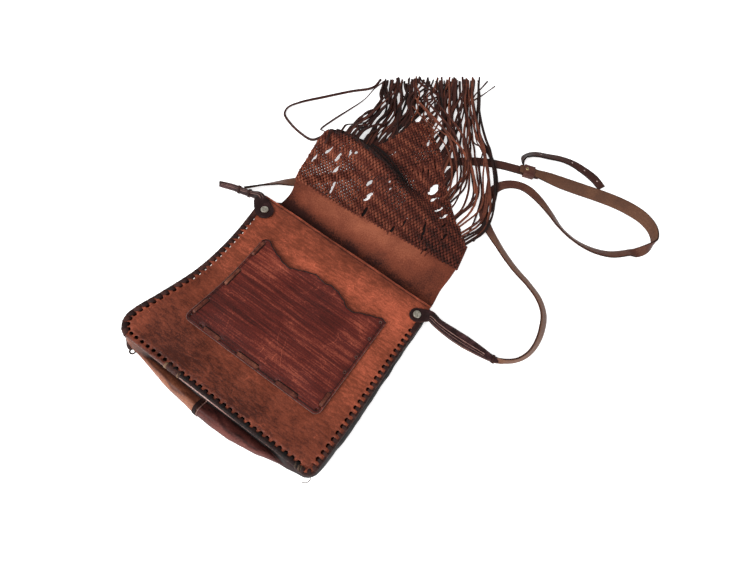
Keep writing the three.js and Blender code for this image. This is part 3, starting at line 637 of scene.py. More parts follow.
@dataclass(frozen=True)
class Leather(Finish):
    """Hide with a cloudy dye, a pebbled or napped surface, and streaks or scratches where it has them.

    Sizes are in millimetres.  A depth is a share of the way from the base colour to the others.
    """

    dark: str
    base: str
    light: str
    roughness: float = 0.5
    cloud: float = 26.0
    cloud_depth: float = 0.5
    pebble: float = 1.8
    relief: float = 0.25
    speckle: float = 0.22
    streak: tuple[float, float] | None = None
    streak_depth: float = 0.0
    streak_turn: float = 0.0
    streak_range: tuple[float, float] = (0.36, 0.64)
    scratch: float = 0.0
    scratch_depth: float = 0.0
    cell: float = 0.0
    cell_depth: float = 0.2
    specular: float = 0.26
    ior: float = 1.45
    bump: float = 0.6

    def shader(self, tree: bpy.types.NodeTree) -> bpy.types.NodeSocket:
        """Lay out the nodes of the finish.

        Args:
            tree: Node tree of its material.

        Returns:
            Output of its shader.
        """
        add = {"operation": "ADD"}
        where = {"Vector": add_node(tree, "TexCoord", output="Object")}
        tone = add_node(tree, "Attribute", {"attribute_name": "tone"}, output="Fac")
        soft = {"Scale": per_metre(self.cloud), "Detail": 4.0, "Roughness": 0.5, "Distortion": 0.4}
        cloud = add_node(tree, "TexNoise", soft, where)
        dye = {"range": (0.25, 0.75, -self.cloud_depth, self.cloud_depth)}
        shade = add_node(tree, "MapRange", dye, {"Value": cloud})
        shade = add_node(tree, "Math", add, {0: shade, 1: tone})
        # Pores and hair cells are 0.1-0.3 mm, under a pixel here, so they are drawn coarser.
        grain = {"Scale": per_metre(self.pebble), "Detail": 4.0, "Roughness": 0.6}
        pebble = height = add_node(tree, "TexNoise", grain, where)
        fine = {"range": (0.3, 0.7, -self.speckle, self.speckle)}
        speck = add_node(tree, "MapRange", fine, {"Value": pebble})
        shade = add_node(tree, "Math", add, {0: shade, 1: speck})
        if self.streak:
            along, across = (per_metre(size) for size in self.streak)
            lie = {"Rotation": (0.0, 0.0, self.streak_turn), "Scale": (along, across, along)}
            turned = add_node(tree, "Mapping", lie, where)
            run = {"Scale": 1.0, "Detail": 3.0, "Roughness": 0.55, "Distortion": 0.5}
            lines = add_node(tree, "TexNoise", run, {"Vector": turned})
            drawn = {"range": (*self.streak_range, -self.streak_depth, self.streak_depth)}
            stroke = add_node(tree, "MapRange", drawn, {"Value": lines})
            shade = add_node(tree, "Math", add, {0: shade, 1: stroke})
            height = add_node(tree, "Math", add, {0: pebble, 1: lines})
        if self.cell:
            cells = {"feature": "DISTANCE_TO_EDGE", "Scale": per_metre(self.cell)}
            seam = add_node(tree, "TexVoronoi", cells, where)
            sunk = {"range": (0.0, 0.16, -self.cell_depth, 0.0)}
            crease = add_node(tree, "MapRange", sunk, {"Value": seam})
            shade = add_node(tree, "Math", add, {0: shade, 1: crease})
            height = add_node(tree, "Math", add, {0: height, 1: crease})
        if self.scratch:
            knot = {
                "Scale": per_metre(self.scratch), "Detail": 1.5, "Roughness": 0.5, "Distortion": 1.8}
            tangle = add_node(tree, "TexNoise", knot, where)
            away = add_node(tree, "Math", {"operation": "SUBTRACT", 1: 0.5}, {0: tangle})
            away = add_node(tree, "Math", {"operation": "ABSOLUTE"}, {0: away})
            # Scratches are 0.2 mm wide; they are drawn about 0.7 mm wide so that a pixel holds them.
            thin = {"range": (0.0, 0.014, self.scratch_depth, 0.0)}
            line = add_node(tree, "MapRange", thin, {"Value": away})
            patch = add_node(tree, "MapRange", {"range": (0.44, 0.6, 0.0, 1.0)}, {"Value": cloud})
            mark = add_node(tree, "Math", {"operation": "MULTIPLY"}, {0: line, 1: patch})
            shade = add_node(tree, "Math", add, {0: shade, 1: mark})
        share = add_node(tree, "MapRange", {"range": (-1.0, 1.0, 0.0, 1.0)}, {"Value": shade})
        ramp = {"ramp": ((0.0, self.dark), (0.5, self.base), (1.0, self.light))}
        colour = add_node(tree, "ValToRGB", ramp, {"Fac": share})
        worn = {"range": (0.3, 0.7, self.roughness - 0.08, self.roughness + 0.1)}
        gloss = add_node(tree, "MapRange", worn, {"Value": cloud})
        felt = {"Strength": self.relief, "Distance": self.bump * MM}
        bump = add_node(tree, "Bump", felt, {"Height": height})
        settings = {"IOR": self.ior, "Specular IOR Level": self.specular}
        links = {"Base Color": colour, "Roughness": gloss, "Normal": bump}
        return add_node(tree, "BsdfPrincipled", settings, links)


@dataclass(frozen=True)
class Metal(Finish):
    """Plated rivet head, dulled by handling."""

    colour: str
    worn: str
    roughness: float
    patch: float = 2.0

    def shader(self, tree: bpy.types.NodeTree) -> bpy.types.NodeSocket:
        """Lay out the nodes of the finish: rubbed patches dull the plating.

        Args:
            tree: Node tree of its material.

        Returns:
            Output of its shader.
        """
        where = add_node(tree, "TexCoord", output="Object")
        spots = {"Scale": per_metre(self.patch), "Detail": 5.0}
        rub = add_node(tree, "TexNoise", spots, {"Vector": where})
        ramp = {"ramp": ((0.38, self.worn), (0.62, self.colour))}
        worn = {"range": (0.0, 1.0, self.roughness + 0.12, self.roughness - 0.08)}
        colour = add_node(tree, "ValToRGB", ramp, {"Fac": rub})
        gloss = add_node(tree, "MapRange", worn, {"Value": rub})
        links = {"Base Color": colour, "Roughness": gloss}
        return add_node(tree, "BsdfPrincipled", {"Metallic": 1.0}, links)


@dataclass(frozen=True)
class Board(Finish):
    """Matt board that is lit a little from below."""

    colour: str
    glow: float

    def shader(self, tree: bpy.types.NodeTree) -> bpy.types.NodeSocket:
        """Lay out the node of the finish.

        Args:
            tree: Node tree of its material.

        Returns:
            Output of its shader.
        """
        settings = {"Base Color": linear(self.colour), "Roughness": 0.9}
        lit = {"Emission Color": linear("#ffffff"), "Emission Strength": self.glow}
        return add_node(tree, "BsdfPrincipled", settings | lit)


# Vegetable-tanned cowhide, hand dyed and waxed: cloudy chestnut with a soft shine and a few scratches.
PANEL_LEATHER = Leather(
    "waxed_vegetable_tanned_cowhide", "#3e170c", "#7c3b27", "#bc5d42", 0.46, 26.0, 0.3, 1.4, 0.5, 0.08,
    streak=(9.0, 2.8), streak_depth=0.26, streak_turn=0.12, scratch=18.0, scratch_depth=0.55, cell=3.0,
    cell_depth=0.22)
# Oil-stained hide with its growth lines showing: dark red-brown with finer rust streaks.
POCKET_LEATHER = Leather(
    "oil_stained_streaked_hide", "#220a08", "#591f18", "#a6533d", 0.46, 34.0, 0.2, 1.5, 0.5, 0.2,
    streak=(52.0, 2.2), streak_depth=0.38, streak_range=(0.38, 0.66), scratch=30.0, scratch_depth=0.5,
    cell=3.0, cell_depth=0.2)
# Smooth side leather: worn to tan on the left, dull oxblood that gives no shine on the right.
GUSSET_TAN = Leather(
    "rubbed_side_leather_tan", "#190a06", "#623524", "#a0684c", 0.5, 30.0, 0.3, 1.8, 0.2)
GUSSET_DARK = Leather(
    "polished_side_leather_oxblood", "#0c0404", "#46211d", "#7a4840", 0.55, 24.0, 0.3, 1.8, 0.15,
    specular=0.14)
# Flesh side of the flap: short nap that takes no shine.
FLAP_SUEDE = Leather(
    "split_suede_brown", "#2c0e08", "#763b29", "#a66046", 0.9, 22.0, 0.3, 1.6, 0.5, 0.34)
# Cut edges of thick hide: a pale raw core burnished by wear, or stained nearly black.
RAW_EDGE = Leather("raw_hide_edge", "#1c0b09", "#8f6a62", "#e2d2ca", 0.5, 8.0, 0.25, 1.2, 0.2)
DARK_EDGE = Leather(
    "stained_hide_edge", "#0b0505", "#1e0f0d", "#3c241f", 0.7, 8.0, 0.4, 1.2, 0.2, specular=0.12)
# Inside of the bag: raw split, nearly black in its shade.
RAW_FLESH = Leather("raw_split_inside", "#1d0f0a", "#462719", "#6c4632", 0.9, 18.0, 0.35, 1.6, 0.35)
# Flat goat lace, dyed through: almost black and nearly matt.
LACE_LEATHER = Leather("dyed_goat_lace", "#070302", "#260f0c", "#56332b", 0.66, 9.0, 0.4, 1.4, 0.3)
# The same lace where wear has rubbed its dye off: olive tan.
WORN_LACE = Leather("rubbed_goat_lace", "#241a15", "#5a4434", "#84664d", 0.55, 6.0, 0.4, 1.2, 0.25)
# Lace of the pocket: dyed like the hide it holds.
POCKET_LACE = Leather("dyed_calf_lace", "#1c0906", "#4a2016", "#87513b", 0.48, 9.0, 0.4, 1.4, 0.25)
# Knotted thongs of the net: matt soft-tanned strips, chestnut, with painted shade near-black in the
# gaps between them.
NET_LEATHER = Leather(
    "soft_tanned_knotted_thong", "#0d0403", "#542317", "#90503a", 0.68, 16.0, 0.35, 1.5, 0.3)
# Hanging thongs: the same strips, each with its own darker dye.
THONG_LEATHER = Leather(
    "soft_tanned_hanging_thong", "#0c0605", "#3f1e17", "#8c4e37", 0.66, 14.0, 0.3, 1.5, 0.3)
# Strap: grain side reddish and rubbed, flesh side taupe.
STRAP_GRAIN = Leather("bridle_strap_grain", "#170a0a", "#4c2a22", "#7e5942", 0.54, 30.0, 0.3, 1.6, 0.2)
STRAP_FLESH = Leather("bridle_strap_flesh", "#261712", "#553728", "#7f5b44", 0.78, 26.0, 0.3, 1.5, 0.3)
# Folded strap ends: dark purple-brown with a waxed shine.
BASE_LEATHER = Leather(
    "waxed_folded_strip", "#080303", "#210b0b", "#603d40", 0.56, 12.0, 0.4, 1.6, 0.25)
# Rivet heads: plating rubbed dull, nickel on the bag and brass on the strap.
NICKEL = Metal("dulled_nickel_plate", "#dfd8c9", "#b0a899", 0.38)
BRASS = Metal("dulled_brass_plate", "#c3ab84", "#8b7654", 0.36)
# Opal board under the bag, so that shadows and open places in the net stay pale.
OPAL_BOARD = Board("matt_opal_board", "#f7f7f7", 0.6)


# ---------------------------------------------------------------------------------------------
# Form of the bag


@dataclass(frozen=True)
class PanelRow:
    """Edges of the front panel and height of its upper face, at one place up the bag."""

    y: float
    left: float
    right: float
    height: float


@dataclass(frozen=True)
class StrapRow:
    """Middle of a strap with its width, its turn about its run and its lift off the floor."""

    x: float
    y: float
    width: float
    tilt: float
    lift: float


PANEL_ROWS = table(PanelRow, (
    (-114, -131, 119, 38.0), (-90, -131, 120, 36.0), (-60, -124, 121, 33.0), (-15, -115.5, 121, 28.5),
    (30, -115, 121, 24.0), (75, -120, 122, 19.5), (114, -127, 122, 16.5),
))

STRAP_LONG_ROWS = table(StrapRow, (
    (-161, 110.5, 10, 62, 1.5), (-147, 127, 12, 54, 1.0), (-133, 143.5, 13, 40, 0.5),
    (-121, 158, 13, 6, 0), (-97, 185, 13, 0, 0), (-64, 221, 13, 0, 0), (-29, 259, 13, 0, 0),
    (3, 297, 13, 0, 0), (35, 329, 13, 0, 0), (59, 349, 14, 0, 0), (85, 364, 14, 0, 0),
    (113, 373.6, 14, 0, 1.8), (128, 378.5, 14, 0, 1.8), (142, 383, 13, 0, 1.8),
))
STRAP_MAIN_ROWS = table(StrapRow, (
    (115, 374.2, 14, 0, 4.9), (128, 378.5, 14, 0, 4.9), (141, 382.7, 14, 0, 4.9),
    (156, 387, 16, -14, 2.6), (175, 391, 17, -28, 0.6), (200, 397, 17, -38, 0.2),
    (229, 405, 17, -40, 0), (252, 410, 17, -42, 0), (274, 412, 17, -44, 0), (296, 409, 16, -58, 0),
    (313, 399, 15, -74, 0), (321, 383, 14, -90, 0), (314, 363, 13, -150, 0), (297, 345, 13, -212, 0),
    (278, 328, 13, -205, 0), (254, 318, 13, -210, 0), (229, 316, 13, -220, 0), (205, 322, 13, -220, 0),
    (183, 335, 13, -206, 0), (163, 346, 13, -190, 0), (147, 352, 13, -178, 0), (130, 352, 13, -180, 0),
    (114, 343, 13, -180, 0), (104, 328, 13, -180, 0), (101, 307, 13, -180, 0), (105, 286, 13, -180, 0),
    (119, 266, 13, -176, 0), (150, 244, 13, -152, 0), (181, 228, 13, -150, 0), (206, 219, 13, -146, 0),
    (226, 209, 13, -146, 0), (240, 194, 13, -142, 0), (247, 174, 13, -138, 0), (249, 153, 13, -126, 0),
    (246, 135, 12, -114, 0), (238, 121, 10, -104, 0), (227, 112, 8, -108, 0.2),
    (217.6, 107.2, 6, -186, 0.8),
))
STRAP_TAIL_ROWS = table(StrapRow, (
    (115.2, 385, 10, -56, 0.5), (112, 399, 13, -140, 0.2), (121, 414, 13, -158, 0),
    (139, 424, 13, -162, 0), (160, 434, 13, -166, 0), (183, 438, 13, -178, 0), (210, 433, 13, -188, 0),
    (227, 425, 12, -184, 0),
))


@dataclass(frozen=True)
class StrapRun:
    """Even points along a strap, with its width and tilt at each."""

    points: Array
    width: Array
    tilt: Array


def strap_run(rows: Sequence[StrapRow], step: float) -> StrapRun:
    """Lay a strap along its table.

    Args:
        rows: Table of the strap.
        step: Distance between the points of the run.

    Returns:
        The strap's run, resting on the floor.
    """
    plan, place = smooth_path(np.array([(r.x, r.y) for r in rows]), step)
    number = np.arange(len(rows))
    names = ("width", "tilt", "lift")
    width, tilt, lift = (np.interp(place, number, [getattr(r, n) for r in rows]) for n in names)
    angle = np.radians(tilt)
    z = GAP + np.abs(np.sin(angle)) * width / 2 + np.abs(np.cos(angle)) * STRAP_HIDE / 2 + lift
    return StrapRun(np.column_stack([plan, z]), width, tilt)


@dataclass(frozen=True)
class BagForm:
    """Heights and edges that the pieces of the bag share."""

    bottom: float = -114.0
    mouth: float = 114.0
    half_width: float = 125.0
    left_radius: float = 20.0
    right_radius: float = 9.0
    lean: float = 0.012
    sag: float = 2.0
    rim_end: float = 3.0
    probe: float = 2.5
    steepest_covered: float = 0.3
    strap_step: float = 15.0
    strap_air: float = 0.3
    strap_margin: float = 5.0
    strap_fall: float = 14.0

    def __post_init__(self) -> None:
        """Lay out the rim and the stretches of strap that lie flat on the floor."""
        runs = [strap_run(rows, self.strap_step) for rows in (STRAP_LONG_ROWS, STRAP_MAIN_ROWS)]
        points = np.vstack([run.points for run in runs])
        width = np.concatenate([run.width for run in runs])
        slope = np.abs(np.sin(np.radians(np.concatenate([run.tilt for run in runs]))))
        low = slope < self.steepest_covered
        object.__setattr__(self, "low_straps", np.column_stack([points, width, slope])[low])
        object.__setattr__(self, "rim_points", self._rim())
        steps = np.linalg.norm(np.diff(self.rim_points, axis=0), axis=1)
        object.__setattr__(self, "rim_run", np.concatenate([[0.0], np.cumsum(steps)]))

    def front_top(self, x: Array, y: Array) -> Array:
        """Height of the front panel's upper face.

        Args:
            x: Places across the bag.
            y: Places up the bag.

        Returns:
            The height at each place.
        """
        across = np.clip(np.asarray(x) / self.half_width, -1, 1)
        along = np.clip((np.asarray(y) - self.bottom) / (self.mouth - self.bottom), 0, 1)
        sag = self.sag * (1 - across**2) * np.sin(np.pi * along)
        return column(PANEL_ROWS, "y", "height").at(y) - self.lean * np.asarray(x) - sag

    def panel_side(self, y: Array, name: str) -> Array:
        """Left or right edge of the panel at heights up the bag, before its corners are rounded."""
        return column(PANEL_ROWS, "y", name).at(y)

    def _rim(self) -> Array:
        """The panel's edge from the left end of the mouth, round the bottom, to its right end.

        Returns:
            Points of the edge in plan.
        """
        left_start, right_start = self.bottom + self.left_radius, self.bottom + self.right_radius
        down = np.linspace(self.mouth - self.rim_end, left_start, 200)
        up = np.linspace(right_start, self.mouth - self.rim_end, 200)
        left = np.column_stack([self.panel_side(down, "left"), down])
        right = np.column_stack([self.panel_side(up, "right"), up])
        turn = np.linspace(0, np.pi / 2, 40)[1:-1, None]
        left_middle = np.array([left[-1, 0] + self.left_radius, left_start])
        right_middle = np.array([right[0, 0] - self.right_radius, right_start])
        first = left_middle + self.left_radius * np.hstack([-np.cos(turn), -np.sin(turn)])
        last = right_middle + self.right_radius * np.hstack([np.sin(turn), -np.cos(turn)])
        across = np.linspace(left_middle[0], right_middle[0], 260)
        floor = np.column_stack([across, np.full(across.shape, self.bottom)])
        return np.vstack([left, first, floor, last, right])

    def rim(self, way: Array | float) -> tuple[Array, Array]:
        """Places round the rim.

        Args:
            way: Share of the way from the left to the right end of the mouth.

        Returns:
            Points of the rim, and unit vectors that point out of the bag.
        """
        run = np.atleast_1d(way) * self.rim_run[-1]
        place, ahead, behind = (
            np.stack([np.interp(run + shift, self.rim_run, axis) for axis in self.rim_points.T], axis=1)
            for shift in (0.0, self.probe, -self.probe)
        )
        along = unit(ahead - behind)
        return place, np.stack([along[:, 1], -along[:, 0]], axis=1)

    def over_straps(self, x: Array, y: Array, height: Array | float) -> Array:
        """Height that lies clear over the straps, and falls to the given height beside them.

        Args:
            x: Places across the bag.
            y: Places up the bag.
            height: Height beside the straps.

        Returns:
            The height at each place.
        """
        x, y = np.asarray(x, float), np.asarray(y, float)
        base = np.broadcast_to(height, x.shape).astype(float)
        lifted = base.copy()
        for sx, sy, sz, width, slope in self.low_straps:
            top = sz + (STRAP_HIDE + slope * width) / 2 + 2 * GAP + self.strap_air
            reach = width / 2 + self.strap_step / 2 + self.strap_margin
            share = ease(np.hypot(x - sx, y - sy), reach, reach + self.strap_fall)
            lifted = np.maximum(lifted, mix(top, base, share))
        return lifted


@dataclass(frozen=True)
class TonePatch:
    """Soft-edged lighter or darker patch of a hide."""

    x: float
    y: float
    long: float
    wide: float
    turn: float
    depth: float


def patched_tone(tone_patches: Sequence[TonePatch]) -> Height:
    """Tone over a hide from its lighter and darker patches.

    Args:
        tone_patches: Patches of the hide.

    Returns:
        Function that gives the tone over x and y.
    """

    def tone(x: Array, y: Array) -> Array:
        """Tone at the given places.

        Args:
            x: Places across the bag.
            y: Places up the bag.

        Returns:
            The tone at each place.
        """
        total = np.zeros(np.shape(x))
        for s in tone_patches:
            c, k = math.cos(math.radians(s.turn)), math.sin(math.radians(s.turn))
            u, v = (x - s.x) * c + (y - s.y) * k, (y - s.y) * c - (x - s.x) * k
            total = total + s.depth * np.exp(-((u / s.long) ** 2) - (v / s.wide) ** 2)
        return total

    return tone


# ---------------------------------------------------------------------------------------------
# Straps


@dataclass(frozen=True)
class Strap:
    """One strap of the carrying loop."""

    name: str
    node: str
    rows: tuple[StrapRow, ...]
    grain_up: bool
    tones: Stations
    holes: tuple[float, ...] = ()
    hole_radius: float = 0.7
    step: float = 3.0

    def build(self) -> None:
        run = strap_run(self.rows, self.step)
        tilt = run.tilt if self.grain_up else run.tilt + 180
        skin = Skin()
        tone = self.tones.at(np.linspace(0.0, 1.0, len(run.points)))
        add_band(skin, run.points, tilt, run.width, STRAP_HIDE, SOFT_BAND, SOFT_SIDES, tone)
        piece = skin.build(self.name, (STRAP_GRAIN, DARK_EDGE, STRAP_FLESH), "strap_leather", self.node)
        if self.holes:
            self._rims(run)

    def _rims(self, run: StrapRun) -> None:
        """Rub the rims of the punched holes pale.

        Args:
            run: Points of the strap, with their tilt.
        """
        across, through = band_frames(run.points, run.tilt)
        up = through * np.sign(through[:, 2:])
        turn = np.linspace(0, 2 * np.pi, 13)
        skin = Skin()
        for way in self.holes:
            i = int(way * (len(run.points) - 1))
            along = np.cross(up[i], across[i])
            round_hole = np.outer(np.cos(turn), across[i]) + np.outer(np.sin(turn), along)
            ring = run.points[i] + up[i] * STRAP_HIDE * 0.52 + round_hole * self.hole_radius
            add_band(skin, ring, 0.0, 0.9, 0.4, ROUND_BAND, tone=0.4)
        skin.build(f"{self.node}_hole_rims", (RAW_EDGE,), "strap_leather", crease=ROUND_CREASE)


@dataclass(frozen=True)
class StrapJoint:
    """Leather sleeve and small rivet that hold both ends of the strap together."""

    x: float = 128.0
    y: float = 378.5
    turn: float = 18.0
    length: float = 15.0
    width: float = 18.4
    height: float = 9.2
    wall: float = 1.5
    floor: float = 0.3
    corner: float = 2.2
    lip: float = 0.35
    bow: float = 0.5
    head_radius: float = 2.6
    head_height: float = 1.2
    shank_radius: float = 1.1
    shank_length: float = 6.4
    rivet_offset: float = -4.0

    def place(self, offset: float) -> Matrix:
        """Place on the joint's middle line, set off along the strap."""
        turned = Matrix.Rotation(math.radians(self.turn), 4, "Z")
        return Matrix.Translation((self.x, self.y, 0)) @ turned @ Matrix.Translation((offset, 0, 0))

    def _loop(self, inset: float) -> Array:
        """Rounded section of the sleeve, set in from its outside.

        Args:
            inset: Distance in from the outside.

        Returns:
            Points of the section, across and up.
        """
        half, radius = self.width / 2 - inset, max(self.corner - inset, 0.7)
        low, high = self.floor + inset, self.floor + self.height - inset
        corners = ((half, high, 0), (-half, high, 1), (-half, low, 2), (half, low, 3))
        points = []
        for across, up, quarter in corners:
            turn = np.linspace(quarter, quarter + 1, 6) * np.pi / 2
            cx, cz = across - math.copysign(radius, across), up - (radius if up == high else -radius)
            points.append(np.stack([cx + radius * np.cos(turn), cz + radius * np.sin(turn)], axis=1))
        return np.vstack(points)

    def build(self) -> None:
        """Make sleeve and rivet."""
        half = self.length / 2
        stations = (
            (0.0, -half + self.bow), (0.0, half - self.bow), (self.lip, half),
            (self.wall, half), (self.wall, -half), (self.lip, -half))
        rings = []
        for inset, along in stations:
            loop = self._loop(inset)
            bow = self.bow * np.sin(np.pi * (loop[:, 1] - self.floor) / self.height)
            rings.append(np.column_stack([along + bow * np.sign(along), loop[:, 0], loop[:, 1]]))
        points = np.stack(rings)
        moved = points @ np.array(self.place(0.0).to_3x3()).T + np.array([self.x, self.y, 0.0])
        count = points.shape[1]
        faces = grid_faces(len(rings) + 1, count, closed=True) % (len(rings) * count)
        sleeve = Skin()
        sleeve.add(moved, (faces,), (0,))
        sleeve.build("strap_keeper_sleeve", (STRAP_GRAIN,), "keeper_leather", "strap_keeper")
        seat = self.floor + self.height + GAP
        r, h = self.head_radius, self.head_height
        shank, foot = self.shank_radius, seat - self.shank_length
        profile = (
            (0, foot), (shank, foot), (shank, seat), (r * 0.96, seat), (r, seat + 0.2),
            (r * 0.96, seat + h * 0.5), (r * 0.72, seat + h * 0.85), (r * 0.4, seat + h),
            (r * 0.3, seat + h * 0.8), (0, seat + h * 0.75))
        rivet = Skin()
        add_turned(rivet, profile, self.place(self.rivet_offset), 28)
        rivet.build("strap_rivet_head", (BRASS,), "rivet_brass", "strap_rivet")


# ---------------------------------------------------------------------------------------------
# Edge lacing


class Stitch(Enum):
    """How the lace passes a stretch of the rim."""

    WHIP = "wide lace over the edge, each turn touching the next"
    BARE = "lace lost, holes left open"
    DROP = "short lace that fills its hole and dives under the edge"
    TOOTH = "narrow lace straight over the edge"


@dataclass(frozen=True)
class StitchRoute:
    """Path of one stitch: rows of offset from the rim, share of the lean and height over the panel."""

    lean: float
    width: float
    rows: tuple[tuple[float, float, float], ...]


ROUTES = {
    Stitch.WHIP: StitchRoute(3.2, 6.2, (
        (-4.3, 0, -2.2), (-3.7, 0.1, 0.2), (-2.4, 0.35, 0.8), (-0.6, 0.7, 0.85), (0.7, 0.95, 0.0),
        (1.1, 1, -1.6), (0.7, 1.05, -3.8), (-1.2, 1.05, -6.0))),
    Stitch.DROP: StitchRoute(-0.6, 4.4, (
        (-5.0, 0, -2.0), (-4.6, 0.1, -0.2), (-3.4, 0.4, 0.5), (-1.8, 0.8, 0.75), (-0.5, 1.0, 0.3),
        (-0.3, 1.05, -1.8))),
    Stitch.TOOTH: StitchRoute(-0.8, 3.9, (
        (-4.3, 0, -2.2), (-3.8, 0.1, 0.3), (-2.4, 0.35, 0.9), (-0.6, 0.7, 0.9), (1.0, 0.95, 0.0),
        (1.5, 1, -1.8), (1.0, 1.05, -3.6), (-1.2, 1.05, -5.0))),
}


@dataclass(frozen=True)
class Lacing:
    """Lace round the panel's edge and the row of holes that takes it."""

    form: BagForm
    pitch: float = 7.6
    margin: float = 4.9
    hole_long: float = 2.2
    hole_wide: float = 1.8
    first: float = 0.052
    last: float = 0.945
    whip_end: float = 0.333
    bare_end: float = 0.412
    drop_end: float = 0.655
    worn_ways: tuple[float, float] = (0.416, 0.4405)
    glint_end: float = 0.2
    knot: tuple[tuple[float, float, float], ...] = (
        (-124, -106, 30), (-121, -112, 28), (-117, -116, 25), (-113, -119, 22), (-110, -120, 20))
    frayed_end: tuple[tuple[float, float, float], ...] = (
        (117, -112, 35), (120, -115, 31), (119, -119, 28), (115, -122, 26))

    def places(self) -> list[tuple[float, Stitch]]:
        """Holes round the rim.

        Returns:
            Share of the way round of each hole, and how it is laced.
        """
        length = self.form.rim_run[-1]
        count = round((self.last - self.first) * length / self.pitch)
        ends = (
            (self.whip_end, Stitch.WHIP), (self.bare_end, Stitch.BARE),
            (self.drop_end, Stitch.DROP), (1.0, Stitch.TOOTH))
        ways = np.linspace(self.first, self.last, count).tolist()
        return [(way, next(kind for end, kind in ends if way <= end)) for way in ways]

    def centres(self) -> tuple[Array, Array]:
        """Middles of the holes, and unit vectors there that point out of the bag."""
        place, out = self.form.rim(np.array([way for way, _ in self.places()]))
        return place - out * self.margin, out

    def holes(self) -> list[Array]:
        """Outlines of the holes.

        Returns:
            The points round each hole.
        """
        middle, out = self.centres()
        turns = np.arctan2(out[:, 0], -out[:, 1])
        return [oval(x, y, self.hole_long, self.hole_wide, t) for (x, y), t in zip(middle, turns)]

    def _along(self, ways: Array, offset: float, up: float) -> Array:
        """Points that follow the rim, set out from it and above the panel."""
        place, out = self.form.rim(ways)
        return draped(place + out * offset, self.form.front_top, up)

    def _stitch(self, skin: Skin, way: float, route: StitchRoute, tone: float, number: int) -> None:
        """Add the lace of one hole.

        Args:
            skin: Piece that takes it.
            way: Share of the way round the rim.
            route: Path of the stitch.
            tone: How much lighter or darker it is.
            number: Number that makes each stitch a little different.
        """
        place, out = self.form.rim(way)
        along = np.array([-out[0, 1], out[0, 0]])
        jitter = 0.25 * math.sin(number * 2.7)
        points = []
        for offset, share, up in route.rows:
            x, y = place[0] + out[0] * offset + along * (route.lean * share + jitter)
            points.append((x, y, float(self.form.front_top(x, y)) + up))
        path, _ = smooth_path(np.array(points), 0.9)
        width = route.width * (1 + 0.08 * math.sin(number * 1.9))
        taper = width * (0.55 + 0.45 * ease(np.linspace(0, 1, len(path)), 0.0, 0.35))
        level = np.column_stack([np.tile(along, (len(path), 1)), np.zeros(len(path))])
        add_flat(skin, path, level, taper, LACE_DEPTH, tone)

    def _border(self) -> None:
        """Rolled cord under the lace along both sides and the knot at the lower left corner."""
        skin = Skin()
        for start, end in ((0.03, self.whip_end), (self.drop_end, 0.965)):
            ways = np.linspace(start, end, round((end - start) * 260))
            add_band(skin, self._along(ways, 0.3, -1.3), 0.0, 3.6, 3.0, ROUND_BAND, tone=0.1)
        for start, end, wide in ((0.026, 0.066, 7.0), (0.945, 0.974, 5.0)):
            hem = self._along(np.linspace(start, end, 14), -2.1, 0.65)
            add_band(skin, hem, 0.0, wide, 1.4, tone=0.05)
        bottom = np.linspace(self.worn_ways[1], self.drop_end, 60)
        add_band(skin, self._along(bottom, -1.7, 0.35), 0.0, 3.5, 1.4, tone=-0.5)
        path, _ = smooth_path(np.array(self.knot), 1.5)
        swell = 1 + 0.22 * np.sin(np.linspace(0, 9, len(path)))
        add_band(skin, path, 0.0, 5.6 * swell, 5.6 * swell, ROUND_BAND, tone=0.1)
        skin.build("edge_cord", (LACE_LEATHER,), "base_leather", crease=ROUND_CREASE)

    def _worn(self) -> None:
        """Rubbed turns of lace at the bottom, the frayed right corner and the knot's small loop."""
        skin = Skin()
        wrap = ROUTES[Stitch.WHIP]
        rubbed, frayed = StitchRoute(0.6, 3.4, wrap.rows), StitchRoute(2.4, 2.2, wrap.rows)
        for number, way in enumerate(self.worn_ways):
            self._stitch(skin, way, rubbed, 0.5, number)
        for number, shift in enumerate((-0.004, 0.0015, 0.006)):
            self._stitch(skin, self.drop_end + shift, frayed, -0.8 + 0.2 * number, number)
        turn = np.linspace(0, 2 * np.pi, 17)
        c, k = np.cos(turn), np.sin(turn)
        loop = np.column_stack([-108.5 + 2.8 * c, -122 + 2.6 * k, 18 - 0.5 * k])
        add_band(skin, loop, 0.0, 1.9, 1.9, ROUND_BAND, tone=-0.9)
        tail, _ = smooth_path(np.array(self.frayed_end), 1.5)
        add_band(skin, tail, 0.0, 0.9, 0.9, ROUND_BAND, tone=-0.6)
        skin.build("worn_lace", (WORN_LACE,), "base_leather", crease=ROUND_CREASE)

    def _pale_parts(self) -> None:
        """Pale band along the panel's bottom edge, its burnished edge with a painted highlight, and
        near-white lips of the upper left holes as painted glints.
        """
        skin = Skin()
        ways = np.linspace(self.whip_end - 0.01, self.drop_end + 0.005, 130)
        width = mix(1.1, 1.7, ease(ways, 0.4, 0.47)) * mix(1.0, 0.6, ease(ways, 0.5, 0.6))
        # Painted highlight: the band is brightest near the middle of the bottom edge and darker toward
        # either end.
        tone = mix(-0.5, 0.15, ease(ways, 0.4, 0.46)) - 1.0 * ease(ways, 0.49, 0.57)
        add_band(skin, self._along(ways, 0.35, -0.75), 0.0, width, width, ROUND_BAND, tone=tone)
        middle, out = self.centres()
        for (way, _), (x, y), (ox, oy) in zip(self.places(), middle, out):
            if way < self.glint_end:
                # Painted glints: near-white lips on the inner side of each upper left hole.
                lip = np.array([(x - ox * 1.5 - oy * d, y - oy * 1.5 + ox * d) for d in (-1, 0, 1)])
                lip = lip - np.array([ox, oy]) * np.array([[-0.4], [0.0], [-0.4]])
                path = draped(lip, self.form.front_top, -0.1)
                add_band(skin, path, 0.0, 1.1, 0.8, ROUND_BAND, tone=1.0)
        skin.build("burnished_edge_and_highlight", (RAW_EDGE,), "panel_leather", crease=ROUND_CREASE)

